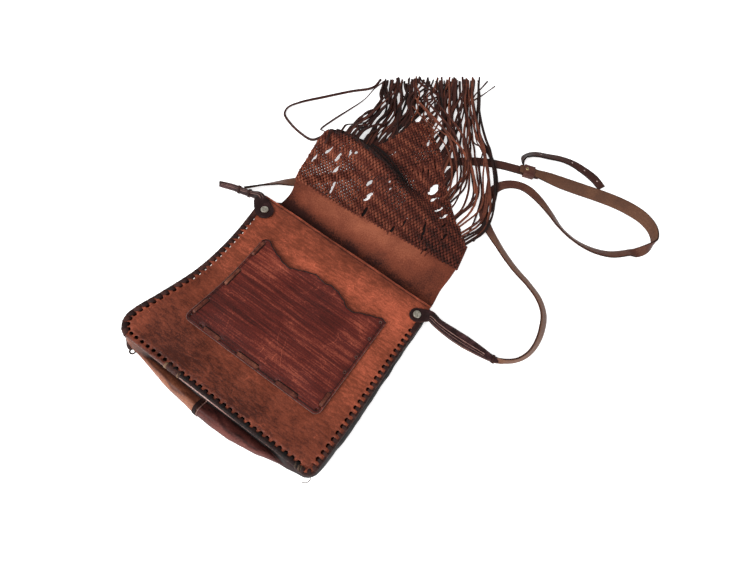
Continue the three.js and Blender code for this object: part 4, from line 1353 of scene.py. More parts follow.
    def build(self) -> None:
        """Make the lace, its border, its worn turns and the burnished edge beside it, with its painted
        highlight and glints.
        """
        skin = Skin()
        for number, (way, kind) in enumerate(self.places()):
            if kind in ROUTES:
                tone = (-0.7 if kind is Stitch.DROP else 0.1) + 0.25 * math.sin(number * 3.1)
                self._stitch(skin, way, ROUTES[kind], tone, number)
        for number in range(3):
            way = mix(*self.worn_ways, (number + 0.5) / 3)
            self._stitch(skin, way, ROUTES[Stitch.WHIP], 0.5, number)
        skin.build("edge_lace", (LACE_LEATHER,), "base_leather")
        self._border()
        self._worn()
        self._pale_parts()


# ---------------------------------------------------------------------------------------------
# Body


@dataclass(frozen=True)
class FrontPanel:
    """Front of the bag: one hide, laced round its edge, with a turned hem at the mouth."""

    form: BagForm
    lacing: Lacing
    rivet_holes: tuple[tuple[float, float], ...]
    hem: float = 3.6
    rivet_hole: float = 1.9
    tone_patches: tuple[TonePatch, ...] = table(TonePatch, (
        (-5, -95, 125, 30, 0, -0.46), (12, -96, 50, 14, 0, -0.14), (-80, -80, 38, 30, 0, -0.5),
        (-76, -99, 26, 12, 0, -0.3), (28, -102, 26, 9, 0, -0.3), (-116, -96, 14, 14, 0, 0.3),
        (101, -82, 16, 42, 0, -0.22), (-108, -40, 60, 14, 90, -0.2), (40, 74, 60, 18, 6, 0.42),
        (-20, 68, 32, 10, 0, 0.34), (104, 20, 75, 14, 90, 0.36), (100, 85, 26, 22, 0, 0.35),
        (-103, 55, 50, 14, 90, 0.1), (-70, 92, 40, 18, 0, 0.12), (0, 108, 60, 7, 0, -0.35),
        (85, 106, 30, 6, 0, -0.2), (-95, 100, 24, 10, 0, -0.3),
    ))

    def _outline(self) -> Array:
        """Edge of the hide, left-handed from the left end of the mouth.

        Returns:
            Points of the edge in plan.
        """
        rim, _ = self.form.rim(np.linspace(0, 1, 230))
        right, left = (float(self.form.panel_side(self.form.mouth, n)) for n in ("right", "left"))
        x = np.linspace(right, left, 84)
        y = self.form.mouth + 0.35 * np.sin(x / 17) - 0.25
        return np.vstack([rim, np.column_stack([x, y])])

    def _top(self, x: Array, y: Array) -> Array:
        """Height of the upper face with its dents, its lifted hem and the groove behind it.

        Args:
            x: Places across the bag.
            y: Places up the bag.

        Returns:
            The height at each place.
        """
        dents = 0.55 * rumple(x, y, 42, 1.0) + 0.3 * rumple(x, y, 15, 2.0)
        behind = self.form.mouth - y
        groove = -0.5 * np.exp(-(((behind - self.hem) / 0.8) ** 2))
        return self.form.front_top(x, y) + dents * ease(behind, 0, 20) * 0.7 + groove

    def build(self) -> None:
        """Cut and lay the panel."""
        size = self.rivet_hole
        holes = self.lacing.holes() + [oval(x, y, size, size) for x, y in self.rivet_holes]
        x = np.arange(-121, 117, 2.4)
        line = self.form.mouth - self.hem
        rows = [np.column_stack([x, np.full(len(x), line + d)]) for d in (-1.2, 0.0, 1.2)]
        pattern = HidePattern(self._outline(), holes, 3.0, 0.45, np.vstack(rows))
        skin = Skin()
        spots = patched_tone(self.tone_patches)

        def tone(x: Array, y: Array) -> Array:
            """Tone patches, painted shade in the groove behind the hem, a painted highlight along the
            hem's edge, and the pale rims of the holes.

            Args:
                x: Places across the bag.
                y: Places up the bag.

            Returns:
                The tone at each place.
            """
            behind = self.form.mouth - y
            # Painted shade in the groove behind the hem, and a painted highlight along the hem at the
            # mouth's edge.
            groove = -0.9 * np.exp(-(((behind - self.hem) / 0.7) ** 2))
            away = np.min([np.hypot(x - hx, y - hy) for hx, hy in self.lacing.centres()[0]], axis=0)
            rims = 0.35 * np.exp(-(((away - 2.7) / 0.5) ** 2)) - 0.3 * np.exp(-((away / 5.0) ** 2))
            return spots(x, y) + groove + 0.5 * np.exp(-((behind / 1.2) ** 2)) + rims

        pattern.add_to(skin, self._top, HIDE, tone)
        finishes = (PANEL_LEATHER, DARK_EDGE, RAW_FLESH)
        skin.build("front_panel_hide", finishes, "panel_leather", "front_panel")


@dataclass(frozen=True)
class FlapRow:
    """Left and right end of the flap, at a share of the way from the mouth to the net."""

    way: float
    left_x: float
    left_y: float
    right_x: float
    right_y: float
    lift: float


FLAP_ROWS = table(FlapRow, (
    (0.0, -112, 124, 122, 124, 0.0), (0.35, -109, 138, 120, 145, 1.6), (0.7, -113, 152, 121, 166, 1.8),
    (1.0, -118, 163, 121, 183, 0.6),
))


@dataclass(frozen=True)
class BackFlap:
    """Back of the bag, flat on the floor, running on as the flap; its flesh side shows."""

    form: BagForm
    # The first two patches are painted shadow: the dark band that the panel's mouth edge casts on the
    # flap.
    tone_patches: tuple[TonePatch, ...] = table(TonePatch, (
        (0, 121, 170, 15, 0, -1.0), (-100, 124, 45, 14, 0, -0.6), (-90, 152, 30, 10, 0, 0.15),
        (10, 163, 70, 14, 5, 0.6), (110, 160, 34, 36, 0, -0.4), (-112, 150, 14, 30, 0, -0.5),
    ))

    def point(self, across: Array, way: Array | float) -> Array:
        """Points of the flap's underside.

        Args:
            across: Share of the way across.
            way: Share of the way from the mouth to the net.

        Returns:
            The points, with x, y and z along the last axis.
        """
        names = ("left_x", "left_y", "right_x", "right_y", "lift")
        ends = {name: column(FLAP_ROWS, "way", name).at(way) for name in names}
        x = mix(ends["left_x"], ends["right_x"], across)
        y = mix(ends["left_y"], ends["right_y"], across)
        wave = ends["lift"] * (0.6 + 0.4 * np.cos(across * 3 * np.pi))
        return np.stack([x, y, self.form.over_straps(x, y, wave)], axis=-1)

    def build(self) -> None:
        """Make back panel and flap, one hide."""
        columns = 100
        across = np.linspace(0, 1, columns)
        corner = np.array([0, 0.25, 0.7, 1.5, 2.5, 4, 6, 8.5, 11, 15, 20]) + self.form.bottom
        rows = np.concatenate([corner, np.linspace(self.form.bottom + 26, self.form.mouth, 36)])
        body = []
        for y in rows:
            left, right = (float(self.form.panel_side(y, n)) for n in ("left", "right"))
            for radius, sign in ((self.form.left_radius, 1), (self.form.right_radius, -1)):
                below = max(0.0, self.form.bottom + radius - y)
                inset = radius - math.sqrt(max(0.0, radius**2 - below**2))
                left, right = (left + inset, right) if sign > 0 else (left, right - inset)
            line = mix(left, right, across)
            body.append(np.column_stack([line, np.full(columns, y), np.zeros(columns)]))
        flap = [self.point(across, way) for way in np.linspace(0, 1, 22)]
        lower = np.array(body + flap)
        x, y = lower[..., 0], lower[..., 1]
        out = ease(y, 122, 135)
        swell = out * (0.5 * rumple(x, y, 30, 4.0) + 0.25 * rumple(x, y, 11, 5.0) + 0.5)
        lower[..., 2] += swell
        upper = lower + np.array([0, 0, HIDE])
        skin = Skin()
        add_sheet(skin, upper, lower, patched_tone(self.tone_patches)(x, y))
        finishes = (FLAP_SUEDE, RAW_EDGE, GUSSET_DARK)
        piece = skin.build("back_flap_hide", finishes, "flap_leather", "back_flap_panel")


@dataclass(frozen=True)
class GussetRow:
    """How far the gusset bulges out past the rim, at a share of the way round it."""

    way: float
    bulge: float


GUSSET_ROWS = table(GussetRow, (
    (0.0, -3), (0.16, -9), (0.3, -2), (0.36, 8), (0.47, 18), (0.55, 18), (0.62, 10), (0.67, 4),
    (0.75, 6), (0.9, 4.5), (1.0, 3),
))


# Sections of the gusset from its upper to its lower lip, in shares of its bulge and of its height: one
# that tucks in under the panel before it rolls out, and one that only swells.
ROLLED_SECTION = (
    (0, 1), (-0.12, 0.84), (-0.02, 0.64), (0.18, 0.54), (0.45, 0.62), (0.72, 0.66), (0.95, 0.5),
    (1.0, 0.3), (0.7, 0.06), (0, 0))
PLAIN_SECTION = (
    (0, 1), (0.4, 0.93), (0.7, 0.82), (0.9, 0.7), (1, 0.58), (1, 0.44), (0.9, 0.3), (0.7, 0.17),
    (0.4, 0.06), (0, 0))


@dataclass(frozen=True)
class Gusset:
    """Side leather between front and back, in two strips that meet at the bottom seam."""

    form: BagForm
    seam_x: float = -12.0
    seam_gap: float = 0.4
    lip: float = 4.0
    turns: int = 27
    crease: float = 60.0
    tucked: tuple[float, float] = (4.0, 14.0)

    def seam_way(self) -> float:
        """Place of the bottom seam.

        Returns:
            Share of the way round the rim.
        """
        ways = np.linspace(0.3, 0.7, 4001)
        place, _ = self.form.rim(ways)
        return float(ways[np.argmin(np.abs(place[:, 0] - self.seam_x))])

    def section(self, way: float, rise: float) -> Array:
        """Points of one section from the upper to the lower lip.

        Args:
            way: Share of the way round the rim.
            rise: Distance out from the middle of the leather.

        Returns:
            The points of the section.
        """
        place, out = self.form.rim(way)
        bulge = float(column(GUSSET_ROWS, "way", "bulge").at(way))
        top = HIDE + GAP + GUSSET_HIDE / 2 + 0.15
        low = HIDE + GAP + GUSSET_HIDE / 2
        tuck = float(ease(bulge, *self.tucked))
        share = np.linspace(0, 1, self.turns + 1)
        spots = np.linspace(0, 1, len(ROLLED_SECTION))
        rolled, plain = np.array(ROLLED_SECTION), np.array(PLAIN_SECTION)
        shape = mix(plain * np.array([bulge, 1.0]), rolled * np.array([bulge, 1.0]), tuck)
        offset, height = (Stations(tuple(spots), tuple(shape[:, k])).at(share) for k in (0, 1))
        run = np.full(share.shape, way * self.form.rim_run[-1])
        puckers = rumple(run, share * 34, 19, 7.0) + 0.5 * rumple(run, share * 30, 8, 8.0)
        offset = offset + 0.9 * puckers * np.sin(np.pi * share) ** 1.2 - 1.0
        offset = np.concatenate([[-self.lip], offset, [-self.lip]])
        xy = place[0] + out[0] * offset[:, None]
        high = self.form.front_top(xy[:, 0], xy[:, 1]) - top
        fall = np.concatenate([[0.0], 1 - height, [1.0]])
        z = mix(np.where(np.arange(len(high)) < 2, high, high[1]), low, fall)
        flat = np.column_stack([offset, z])
        along = unit(np.gradient(flat, axis=0))
        flat = flat + np.stack([-along[:, 1], along[:, 0]], axis=1) * rise
        return np.column_stack([place[0] + out[0] * flat[:, :1], flat[:, 1]])

    def strip(self, node: str, start: float, end: float, finish: Leather, tone: Stations) -> None:
        """Make one strip.

        Args:
            node: Node that it stands for.
            start: Share of the way round the rim where it begins.
            end: Share where it ends.
            finish: Leather of its outside.
            tone: How much lighter or darker it is along the way.
        """
        ways = np.linspace(start, end, round((end - start) * 230))
        half = GUSSET_HIDE / 2
        upper = np.array([self.section(way, half) for way in ways])
        lower = np.array([self.section(way, -half) for way in ways])
        share = np.arange(upper.shape[1]) / (upper.shape[1] - 1)
        tuck = ease(column(GUSSET_ROWS, "way", "bulge").at(ways), *self.tucked)
        # Painted shade: dark where the gusset tucks in under the panel's edge, and a thin dark crease
        # line along each strip. A painted highlight lightens the rolled ridge.
        fold = 0.5 + 0.05 * np.sin(ways * 47) + 0.03 * np.sin(ways * 131)
        shade = tone.at(ways)[:, None] - 1.9 * tuck[:, None] * (1 - ease(share, 0.27, 0.47))
        shade = shade - 0.8 * np.exp(-(((share - fold[:, None]) / 0.022) ** 2))
        shade = shade + 0.3 * tuck[:, None] * np.exp(-(((share - 0.62) / 0.06) ** 2))
        skin = Skin()
        add_sheet(skin, upper, lower, shade)
        finishes = (finish, DARK_EDGE, RAW_FLESH)
        skin.build(f"{node}_hide", finishes, f"{node}_leather", node, crease=self.crease)

    def build(self) -> None:
        """Make both strips and the taped seam between them."""
        seam = self.seam_way()
        half = self.seam_gap / 2 / self.form.rim_run[-1]
        left_tone = Stations((0.0, 0.3, 0.34, 0.47, 0.5), (-0.9, -0.2, 0.1, 0.1, 0.0))
        right_tone = Stations((0.47, 0.56, 0.63, 0.66, 1.0), (0.0, 0.05, -0.15, -1.0, -1.3))
        self.strip("gusset_left", 0.0, seam - half, GUSSET_TAN, left_tone)
        self.strip("gusset_right", seam + half, 1.0, GUSSET_DARK, right_tone)
        per_mm = 1 / self.form.rim_run[-1]
        tape = Skin()
        ways = seam + np.linspace(-5.2, -0.6, 6) * per_mm
        add_sheet(tape, *(np.array([self.section(w, rise)[2:-3] for w in ways]) for rise in (1.6, 0.9)))
        tape.build("bottom_seam_tape", (DARK_EDGE,) * 3, "gusset_left_leather", crease=self.crease)
        thread = Skin()
        line = self.section(seam + 0.9 * per_mm, 1.0)[2:-3]
        path, _ = smooth_path(line, 1.2)
        add_band(thread, path, 0.0, 1.1, 1.0, tone=-0.35)
        thread.build("bottom_seam_thread", (RAW_EDGE,), "gusset_left_leather")


@dataclass(frozen=True)
class PocketRow:
    """Height of the pocket's natural edge at one place across."""

    x: float
    y: float


POCKET_ROWS = table(PocketRow, (
    (-85.5, 58), (-82, 64), (-64, 57), (-48, 51), (-36, 50.5), (-22, 56.5), (-8, 62), (5, 59), (16, 62),
    (32, 57), (50, 49.5), (68, 57.5), (85, 63.5), (90.5, 62.5),
))


@dataclass(frozen=True)
class Seam:
    """One visible stitch of the pocket's lace, from hole to hole."""

    x: float
    y: float
    end_x: float
    end_y: float


@dataclass(frozen=True)
class Pocket:
    """Patch pocket with a natural upper edge, sewn on with flat lace."""

    form: BagForm
    bottom: float = -65.5
    left: float = -85.5
    right: float = 90.5
    radius: float = 7.0
    hole_radius: float = 1.35
    lace_width: float = 4.0
    shadow_width: float = 6.0
    rubbed: int = 4
    seams: tuple[Seam, ...] = table(Seam, (
        (-81.6, 37.5, -82, 58), (-79.5, -9.7, -79.5, 13.8), (-81.5, -55.3, -80, -34.5),
        (-60.7, -61.7, -40, -61.7), (-15.6, -62, 11, -61.8), (35.4, -62, 62, -61.8),
        (86.5, -55, 86.5, -39),
    ))
    bare: tuple[tuple[float, float], ...] = (
        (86, -12), (86.5, 9), (86, 35), (85, 59), (-82, -60), (-65, -61.5), (85.5, -60))
    scuffs: tuple[tuple[tuple[float, float], ...], ...] = (
        ((4, -18), (9, -19), (15, -19)),
        ((2, -13), (4, -18), (9, -28), (19, -33), (25, -42), (32, -52)),
        ((19, -33), (18, -27), (15, -21)),
    )
    tone_patches: tuple[TonePatch, ...] = table(TonePatch, (
        (-60, 40, 26, 16, 0, 0.6), (72, -5, 20, 50, 0, 0.02), (14, 34, 24, 22, 0, -0.3),
        (44, 30, 16, 12, 0, -0.15), (72, 44, 16, 14, 0, 0.42), (-58, -38, 36, 20, 0, -0.25),
        (-46, -54, 40, 9, 0, -0.3), (60, -50, 22, 10, 0, 0.28),
    ))

    def _away(self, x: Array, y: Array) -> Array:
        """Distance in from the nearest sewn edge."""
        return np.minimum(np.minimum(x - self.left, self.right - x), y - self.bottom)

    def top(self, x: Array, y: Array) -> Array:
        """Height of the pocket's upper face, with its soft swell, sewn groove and curled edge.

        Args:
            x: Places across the bag.
            y: Places up the bag.

        Returns:
            The height at each place.
        """
        rest = GAP + 0.1 + POCKET_HIDE
        edge = column(POCKET_ROWS, "x", "y").at(x)
        curl = 1.0 * np.exp(-(((edge - y) / 6) ** 2))
        away = self._away(x, y)
        swell = 1.3 * ease(away, 4, 30) + 0.5 * rumple(x, y, 24, 9.0) * ease(away, 2, 12)
        groove = -0.4 * np.exp(-(((away - 4.2) / 1.8) ** 2))
        return self.form.front_top(x, y) + rest + 0.6 + curl + swell + groove

    def _edges(self) -> tuple[Array, Array]:
        """Edge of the pocket, left-handed.

        Returns:
            The natural upper edge, and the sewn rest of it.
        """
        x = np.linspace(self.right, self.left, 76)
        ragged = 0.5 * np.sin(x * 0.55) + 0.4 * np.sin(x * 0.23 + 1)
        upper = np.column_stack([x, column(POCKET_ROWS, "x", "y").at(x) + ragged])
        turn = np.linspace(0, np.pi / 2, 8)[:, None]
        low = self.bottom + self.radius
        near, far = self.left + self.radius, self.right - self.radius
        side = np.linspace(upper[-1, 1], low, 40)[1:-1]
        left = np.column_stack([self.left + 2.6 * np.sin(np.pi * np.linspace(0, 1, 38)), side])
        right = np.column_stack([np.full(38, self.right), np.linspace(low, upper[0, 1], 40)[1:-1]])
        first = np.array([near, low]) + self.radius * np.hstack([-np.cos(turn), -np.sin(turn)])
        last = np.array([far, low]) + self.radius * np.hstack([np.sin(turn), -np.cos(turn)])
        floor = np.column_stack([np.linspace(near, far, 56)[1:-1], np.full(54, self.bottom)])
        return upper, np.vstack([left, first, floor, last, right])

    def _tone(self, x: Array, y: Array) -> Array:
        """Tone patches, painted shade along the natural edge, and along the sewn edge a painted
        highlight on its rim and painted shade in its groove.

        Args:
            x: Places across the bag.
            y: Places up the bag.

        Returns:
            The tone at each place.
        """
        edge = column(POCKET_ROWS, "x", "y").at(x)
        away = self._away(x, y)
        # Painted highlight on the sewn rim and painted shade in its groove.
        sewn = 0.35 * np.exp(-((away / 1.0) ** 2)) - 0.35 * np.exp(-(((away - 3.4) / 2.6) ** 2))
        return patched_tone(self.tone_patches)(x, y) - 0.25 * np.exp(-(((edge - y) / 2.2) ** 2)) + sewn

    def _lines(self, upper: Array, sewn: Array) -> None:
        """Draw a dark line on the sewn edge and painted shade in its groove, painted shadow along the
        natural edge, dark rings round the bare holes, and the scuffs.

        Args:
            upper: Points of the natural edge.
            sewn: Points of the sewn edge.
        """
        run = unit(np.gradient(sewn, axis=0))
        inward = np.stack([-run[:, 1], run[:, 0]], axis=1)
        lines, scratched = Skin(), Skin()
        # The outer line darkens the cut edge; the inner one is painted shade in the sewn groove.
        for inset, tint in ((0.15, -0.55), (2.6, -2.4)):
            path = draped(sewn + inward * inset, self.top, 0.05)
            add_band(lines, path, 0.0, 0.7, 0.5, ROUND_BAND, tone=tint)
        # Painted shadow along the curled natural edge.
        edge = draped(upper - np.array([0.0, 0.5]), self.top, -0.1)
        add_band(lines, edge, 0.0, 1.3, 0.9, ROUND_BAND, tone=-1.6)
        for x, y in self.bare[: self.rubbed]:
            ring = oval(x, y, 1.5, 1.5)
            path = draped(np.vstack([ring, ring[:1]]), self.top, 0.1)
            add_band(lines, path, 0.0, 0.6, 0.4, ROUND_BAND, tone=-0.6)
        for scuff in self.scuffs:
            flat, _ = smooth_path(np.array(scuff), 1.0)
            wide = 0.35 + 0.35 * np.sin(np.linspace(0, 7, len(flat))) ** 2
            add_band(scratched, draped(flat, self.top), 0.0, wide, 0.3, ROUND_BAND, tone=0.5)
        scratched.build("pocket_scuffs", (POCKET_LEATHER,), "pocket_leather", crease=ROUND_CREASE)
        lines.build("pocket_edge_lines", (RAW_EDGE,), "pocket_leather", crease=ROUND_CREASE)

    def _lace(self) -> None:
        """Sew the lace from hole to hole, over a dark strip of painted shadow round each stitch."""
        lace = Skin()
        share = np.array([-0.03, 0.0, 0.08, 0.3, 0.7, 0.92, 1.0, 1.03])
        up = np.array([-2.0, -0.4, 0.9, 1.2, 1.2, 0.9, -0.4, -2.0])
        for number, s in enumerate(self.seams):
            flat = np.column_stack([mix(s.x, s.end_x, share), mix(s.y, s.end_y, share)])
            path, _ = smooth_path(draped(flat, self.top, up), 1.0)
            level = np.tile(unit(np.array([s.end_y - s.y, s.x - s.end_x, 0.0])), (len(path), 1))
            tone = 0.12 + 0.15 * math.sin(number * 2)
            add_flat(lace, path, level, self.lace_width, LACE_DEPTH, tone)
            # Painted shadow: a dark strip under each stitch, wider than the lace.
            shadow_strip = draped(path[2:-2, :2], self.top, 0.15)
            add_flat(lace, shadow_strip, level[2:-2], self.shadow_width, 0.5, -1.3)
        lace.build("pocket_lace", (POCKET_LACE,), "pocket_leather")

    def build(self) -> None:
        """Make the pocket, the dark lines along its edges (partly painted shade) and the scuffs on it,
        and its lace.
        """
        upper, sewn = self._edges()
        starts, ends = [(s.x, s.y) for s in self.seams], [(s.end_x, s.end_y) for s in self.seams]
        size = self.hole_radius
        holes = [oval(x, y, size, size, count=9) for x, y in (*starts, *ends, *self.bare)]
        skin = Skin()
        pattern = HidePattern(np.vstack([upper, sewn]), holes, 3.0, 0.5)
        pattern.add_to(skin, self.top, POCKET_HIDE, self._tone)
        skin.build("pocket_hide", (POCKET_LEATHER, RAW_EDGE, RAW_FLESH), "pocket_leather", "pocket")
        self._lines(upper, sewn)
        self._lace()


# ---------------------------------------------------------------------------------------------
# Strap bases and rivets


@dataclass(frozen=True)
class BaseRow:
    """One place along a folded strap end; z is None where it rises from the panel instead."""

    x: float
    y: float
    z: float | None
    rise: float
    width: float
    thickness: float
    tilt: float


LEFT_BASE_ROWS = table(BaseRow, (
    (-129, 104.5, None, 4.0, 13, 3.2, 10), (-140, 106, 15.5, 0, 8.5, 6.0, 25),
    (-156, 104.5, 10.0, 0, 8, 6.0, 40), (-173, 102, 6.8, 0, 8, 5.0, 50),
    (-190, 96.5, 5.2, 0, 7.5, 4.0, 50),
))
RIGHT_BASE_ROWS = table(BaseRow, (
    (127, 101, None, 3.6, 13, 3.2, 0), (140, 101.5, 12.5, 0, 12, 6.0, 0),
    (160, 102.5, 8.5, 0, 15, 6.0, 0), (178, 104, 6.0, 0, 15.5, 6.0, 0),
    (196, 105.5, 4.2, 0, 12.5, 5.5, 0), (209, 106.5, 3.2, 0, 9.5, 5.0, 0),
    (216, 107.5, 2.9, 0, 8, 4.4, 0), (221, 109, 2.9, 0, 7, 4.0, 0),
))


@dataclass(frozen=True)
class StrapBase:
    """Round tab riveted to the panel's corner and the folded strip that runs from it."""

    side: str
    form: BagForm
    rivet: tuple[float, float]
    rows: tuple[BaseRow, ...]
    wraps: tuple[tuple[float, float], ...]
    edge: tuple[float, float]
    edge_tone: float
    fold_tone: float
    tab_radius: float = 11.3
    tab_thickness: float = 2.2
    wrap_off: float = 0.7
    head_radius: float = 4.8
    head_height: float = 1.9
    shank_radius: float = 1.6
    washer: tuple[float, float, float] = (3.0, -3.3, -2.3)

    def _top(self, x: float, y: float) -> float:
        """Height of the panel under one place."""
        return float(self.form.front_top(x, y))

    def seat(self) -> Matrix:
        """Seat of the rivet, square to the panel.

        Returns:
            Its place and turn.
        """
        x, y = self.rivet
        slope_x, slope_y = (
            (self._top(x + dx, y + dy) - self._top(x - dx, y - dy)) / 2 for dx, dy in ((1, 0), (0, 1)))
        turn = Vector((-slope_x, -slope_y, 1)).to_track_quat("Z", "Y").to_matrix().to_4x4()
        return Matrix.Translation((x, y, self._top(x, y))) @ turn

    def _stations(self) -> Array:
        """Places along tab and strip.

        Returns:
            Rows of x, y, z, width, thickness and tilt.
        """
        x, y = self.rivet
        first = self.rows[0]
        reach = math.hypot(first.x - x, first.y - y)
        ux, uy = (first.x - x) / reach, (first.y - y) / reach
        made = []
        for share in (-0.985, -0.9, -0.75, -0.55, -0.3, 0.0, 0.25, 0.5, 0.75):
            along = share * (self.tab_radius if share < 0 else reach)
            narrow = mix(1, first.width / 2 / self.tab_radius, share**2)
            half = self.tab_radius * (math.sqrt(1 - share**2) if share < 0 else narrow)
            px, py = x + ux * along, y + uy * along
            slope = (self._top(px + uy, py - ux) - self._top(px - uy, py + ux)) / 2
            tilt = math.degrees(math.atan(slope))
            base = self._top(px, py) + GAP + 0.05 + self.tab_thickness / 2
            lift = max(share, 0) ** 2 * (first.rise - GAP - 1.2)
            made.append((px, py, base + max(lift, 0), 2 * half, self.tab_thickness, tilt))
        for row in self.rows:
            z = row.z if row.z is not None else self._top(row.x, row.y) + row.rise
            made.append((row.x, row.y, z, row.width, row.thickness, row.tilt))
        return np.array(made)

    def build(self) -> None:
        """Make the tab with its strip, the lace wrapped round it, its rubbed edges and the rivet."""
        rows = self._stations()
        points, place = smooth_path(rows[:, :3], 1.5)
        number = np.arange(len(rows))
        width, thickness, tilt = (np.interp(place, number, rows[:, k]) for k in (3, 4, 5))
        name = f"strap_base_{self.side}"
        fold, lace, rubbed, head = Skin(), Skin(), Skin(), Skin()
        tone = mix(-0.1, self.fold_tone, ease(place, 9, 11))
        add_band(fold, points, tilt, width, thickness, FOLDED_BAND, FOLDED_SIDES, tone)
        fold.build(f"{name}_fold", (BASE_LEATHER, STRAP_GRAIN), "base_leather", name, crease=50)
        across, through = band_frames(points, tilt)
        turn = np.linspace(0, 2 * np.pi, 25)
        for share, size in self.wraps:
            i = int(share * (len(points) - 1))
            ring = points[i] + np.outer(np.cos(turn), across[i]) * (width[i] / 2 + self.wrap_off)
            ring = ring + np.outer(np.sin(turn), through[i]) * (thickness[i] / 2 + self.wrap_off)
            along = unit(points[min(i + 1, len(points) - 1)] - points[i - 1])
            ring = ring + np.outer(np.linspace(-1.2, 1.2, len(turn)), along)
            ring[:, 2] = np.maximum(ring[:, 2], 0.9)
            add_flat(lace, ring, np.tile(along, (len(turn), 1)), size, LACE_DEPTH)
        lace.build(f"{name}_wraps", (LACE_LEATHER,), "base_leather")
        strip = slice(*(int(end * len(points)) for end in self.edge))
        for shift, wide in ((0.1, 1.0), (0.55, 0.6), (-0.94, 1.0)):
            lift = (thickness[strip] / 2 * (0.86 if shift > 0 else 0.45))[:, None]
            aside = (width[strip] * shift / 2)[:, None]
            line = points[strip] + through[strip] * lift + across[strip] * aside
            add_band(rubbed, line, tilt[strip], wide, 0.8, ROUND_BAND, tone=self.edge_tone)
        rubbed.build(f"{name}_edge", (RAW_EDGE,), "base_leather", crease=ROUND_CREASE)
        r, h, seat = self.head_radius, self.head_height, 2 * GAP + self.tab_thickness
        shank, (wide, foot, face) = self.shank_radius, self.washer
        profile = (
            (0, foot), (wide, foot), (wide, face), (shank, face), (shank, seat), (r * 0.97, seat),
            (r, seat + 0.3), (r * 0.99, seat + 0.9), (r * 0.93, seat + h * 0.82),
            (r * 0.8, seat + h * 0.95), (r * 0.5, seat + h * 0.97), (r * 0.42, seat + h * 0.9),
            (r * 0.3, seat + h * 0.94), (r * 0.12, seat + h), (0, seat + h))
        add_turned(head, profile, self.seat(), 48)
        head.build(f"rivet_{self.side}_head", (NICKEL,), "rivet_nickel", f"rivet_{self.side}")


# ---------------------------------------------------------------------------------------------
# Net and fringe


@dataclass(frozen=True)
class NetRow:
    """Far edge of the net and end of the fringe, at a share of the way across."""

    way: float
    x: float
    y: float
    end_x: float
    end_y: float


NET_ROWS = table(NetRow, (
    (0.0, -128, 250, -138, 387), (0.12, -105, 262, -127, 396), (0.24, -76, 272, -118, 404),
    (0.34, -60, 304, -106, 414), (0.44, -46, 358, -96, 424), (0.5, -28, 360, -84, 434),
    (0.6, 10, 324, -68, 448), (0.75, 50, 277, -46, 466), (0.88, 89, 241, -26, 482),
    (1.0, 115.5, 217.5, -6, 494),
))


@dataclass(frozen=True)
class Slit:
    """Open place in the net: middle, half length, half width and turn from Y in degrees."""

    x: float
    y: float
    long: float = 9.5
    wide: float = 2.4
    turn: float = 0.0
    shaded: bool = False

    def _way(self) -> tuple[float, float]:
        """Direction of its length."""
        return math.sin(math.radians(self.turn)), math.cos(math.radians(self.turn))

    def local(self, x: Array, y: Array) -> tuple[Array, Array]:
        """Distances of a place along and across the slit."""
        k, c = self._way()
        return (x - self.x) * k + (y - self.y) * c, (x - self.x) * c - (y - self.y) * k

    def spot(self, u: Array, v: Array | float) -> Array:
        """Places at distances along and across the slit."""
        k, c = self._way()
        return np.stack([self.x + u * k + v * c, self.y + u * c - v * k], axis=-1)


SLITS = table(Slit, (
    (-121, 205, 6.7, 1.8, -5), (-111, 224, 6.8, 1.8, 18), (-94, 223, 8.0, 2.3, 6),
    (-83, 236, 5.2, 2.0, -11), (-76, 238, 2.6, 2.2, 8), (-86, 207, 6.7, 2.1, 4),
    (-74, 184, 10.7, 1.6, -15), (-58, 223, 2.4, 1.3, 24), (-45, 229, 2.7, 1.2, 54),
    (-37, 215, 4.9, 2.2, 31), (-28, 200, 7.7, 3.0, 13), (-19, 179, 8.8, 2.3, -6, True),
    (-15, 229, 2.2, 1.2, -19), (-9, 222, 2.4, 1.1, 6), (25, 177, 8.5, 2.0, -4, True),
    (32, 195, 5.9, 1.6, -4, True), (59, 201, 13.0, 1.9, -21, True), (76, 175, 9.0, 2.0, -3, True),
    (85, 209, 7.4, 1.7, 6, True), (76, 225, 7.0, 1.2, 9, True), (35, 267, 11.0, 5.0, 4),
    (43, 256, 8.0, 2.1, 8), (57, 244, 7.7, 2.1, 22), (68, 238, 8.0, 2.0, 25),
    (-17, 317, 9.0, 1.1, -27, True), (-12, 327, 8.0, 1.7, -22), (-2, 271, 9.3, 0.9, -33, True),
    (4, 275, 9.7, 1.0, -32, True), (9, 280, 11.0, 1.1, -30, True), (14, 286, 10.7, 1.1, -31, True),
    (14, 304, 11.0, 1.3, -36, True), (-49, 278, 9.0, 1.8, 8, True), (-42, 281, 8.0, 1.7, 10),
))


@dataclass(frozen=True)
class RidgeRow:
    """Crest of the net's fold at one place across."""

    x: float
    y: float
    height: float


RIDGE_ROWS = table(RidgeRow, (
    (-140, 240, 17), (-85, 252, 20), (-30, 242, 19), (10, 230, 14), (60, 220, 7), (125, 210, 2),
))


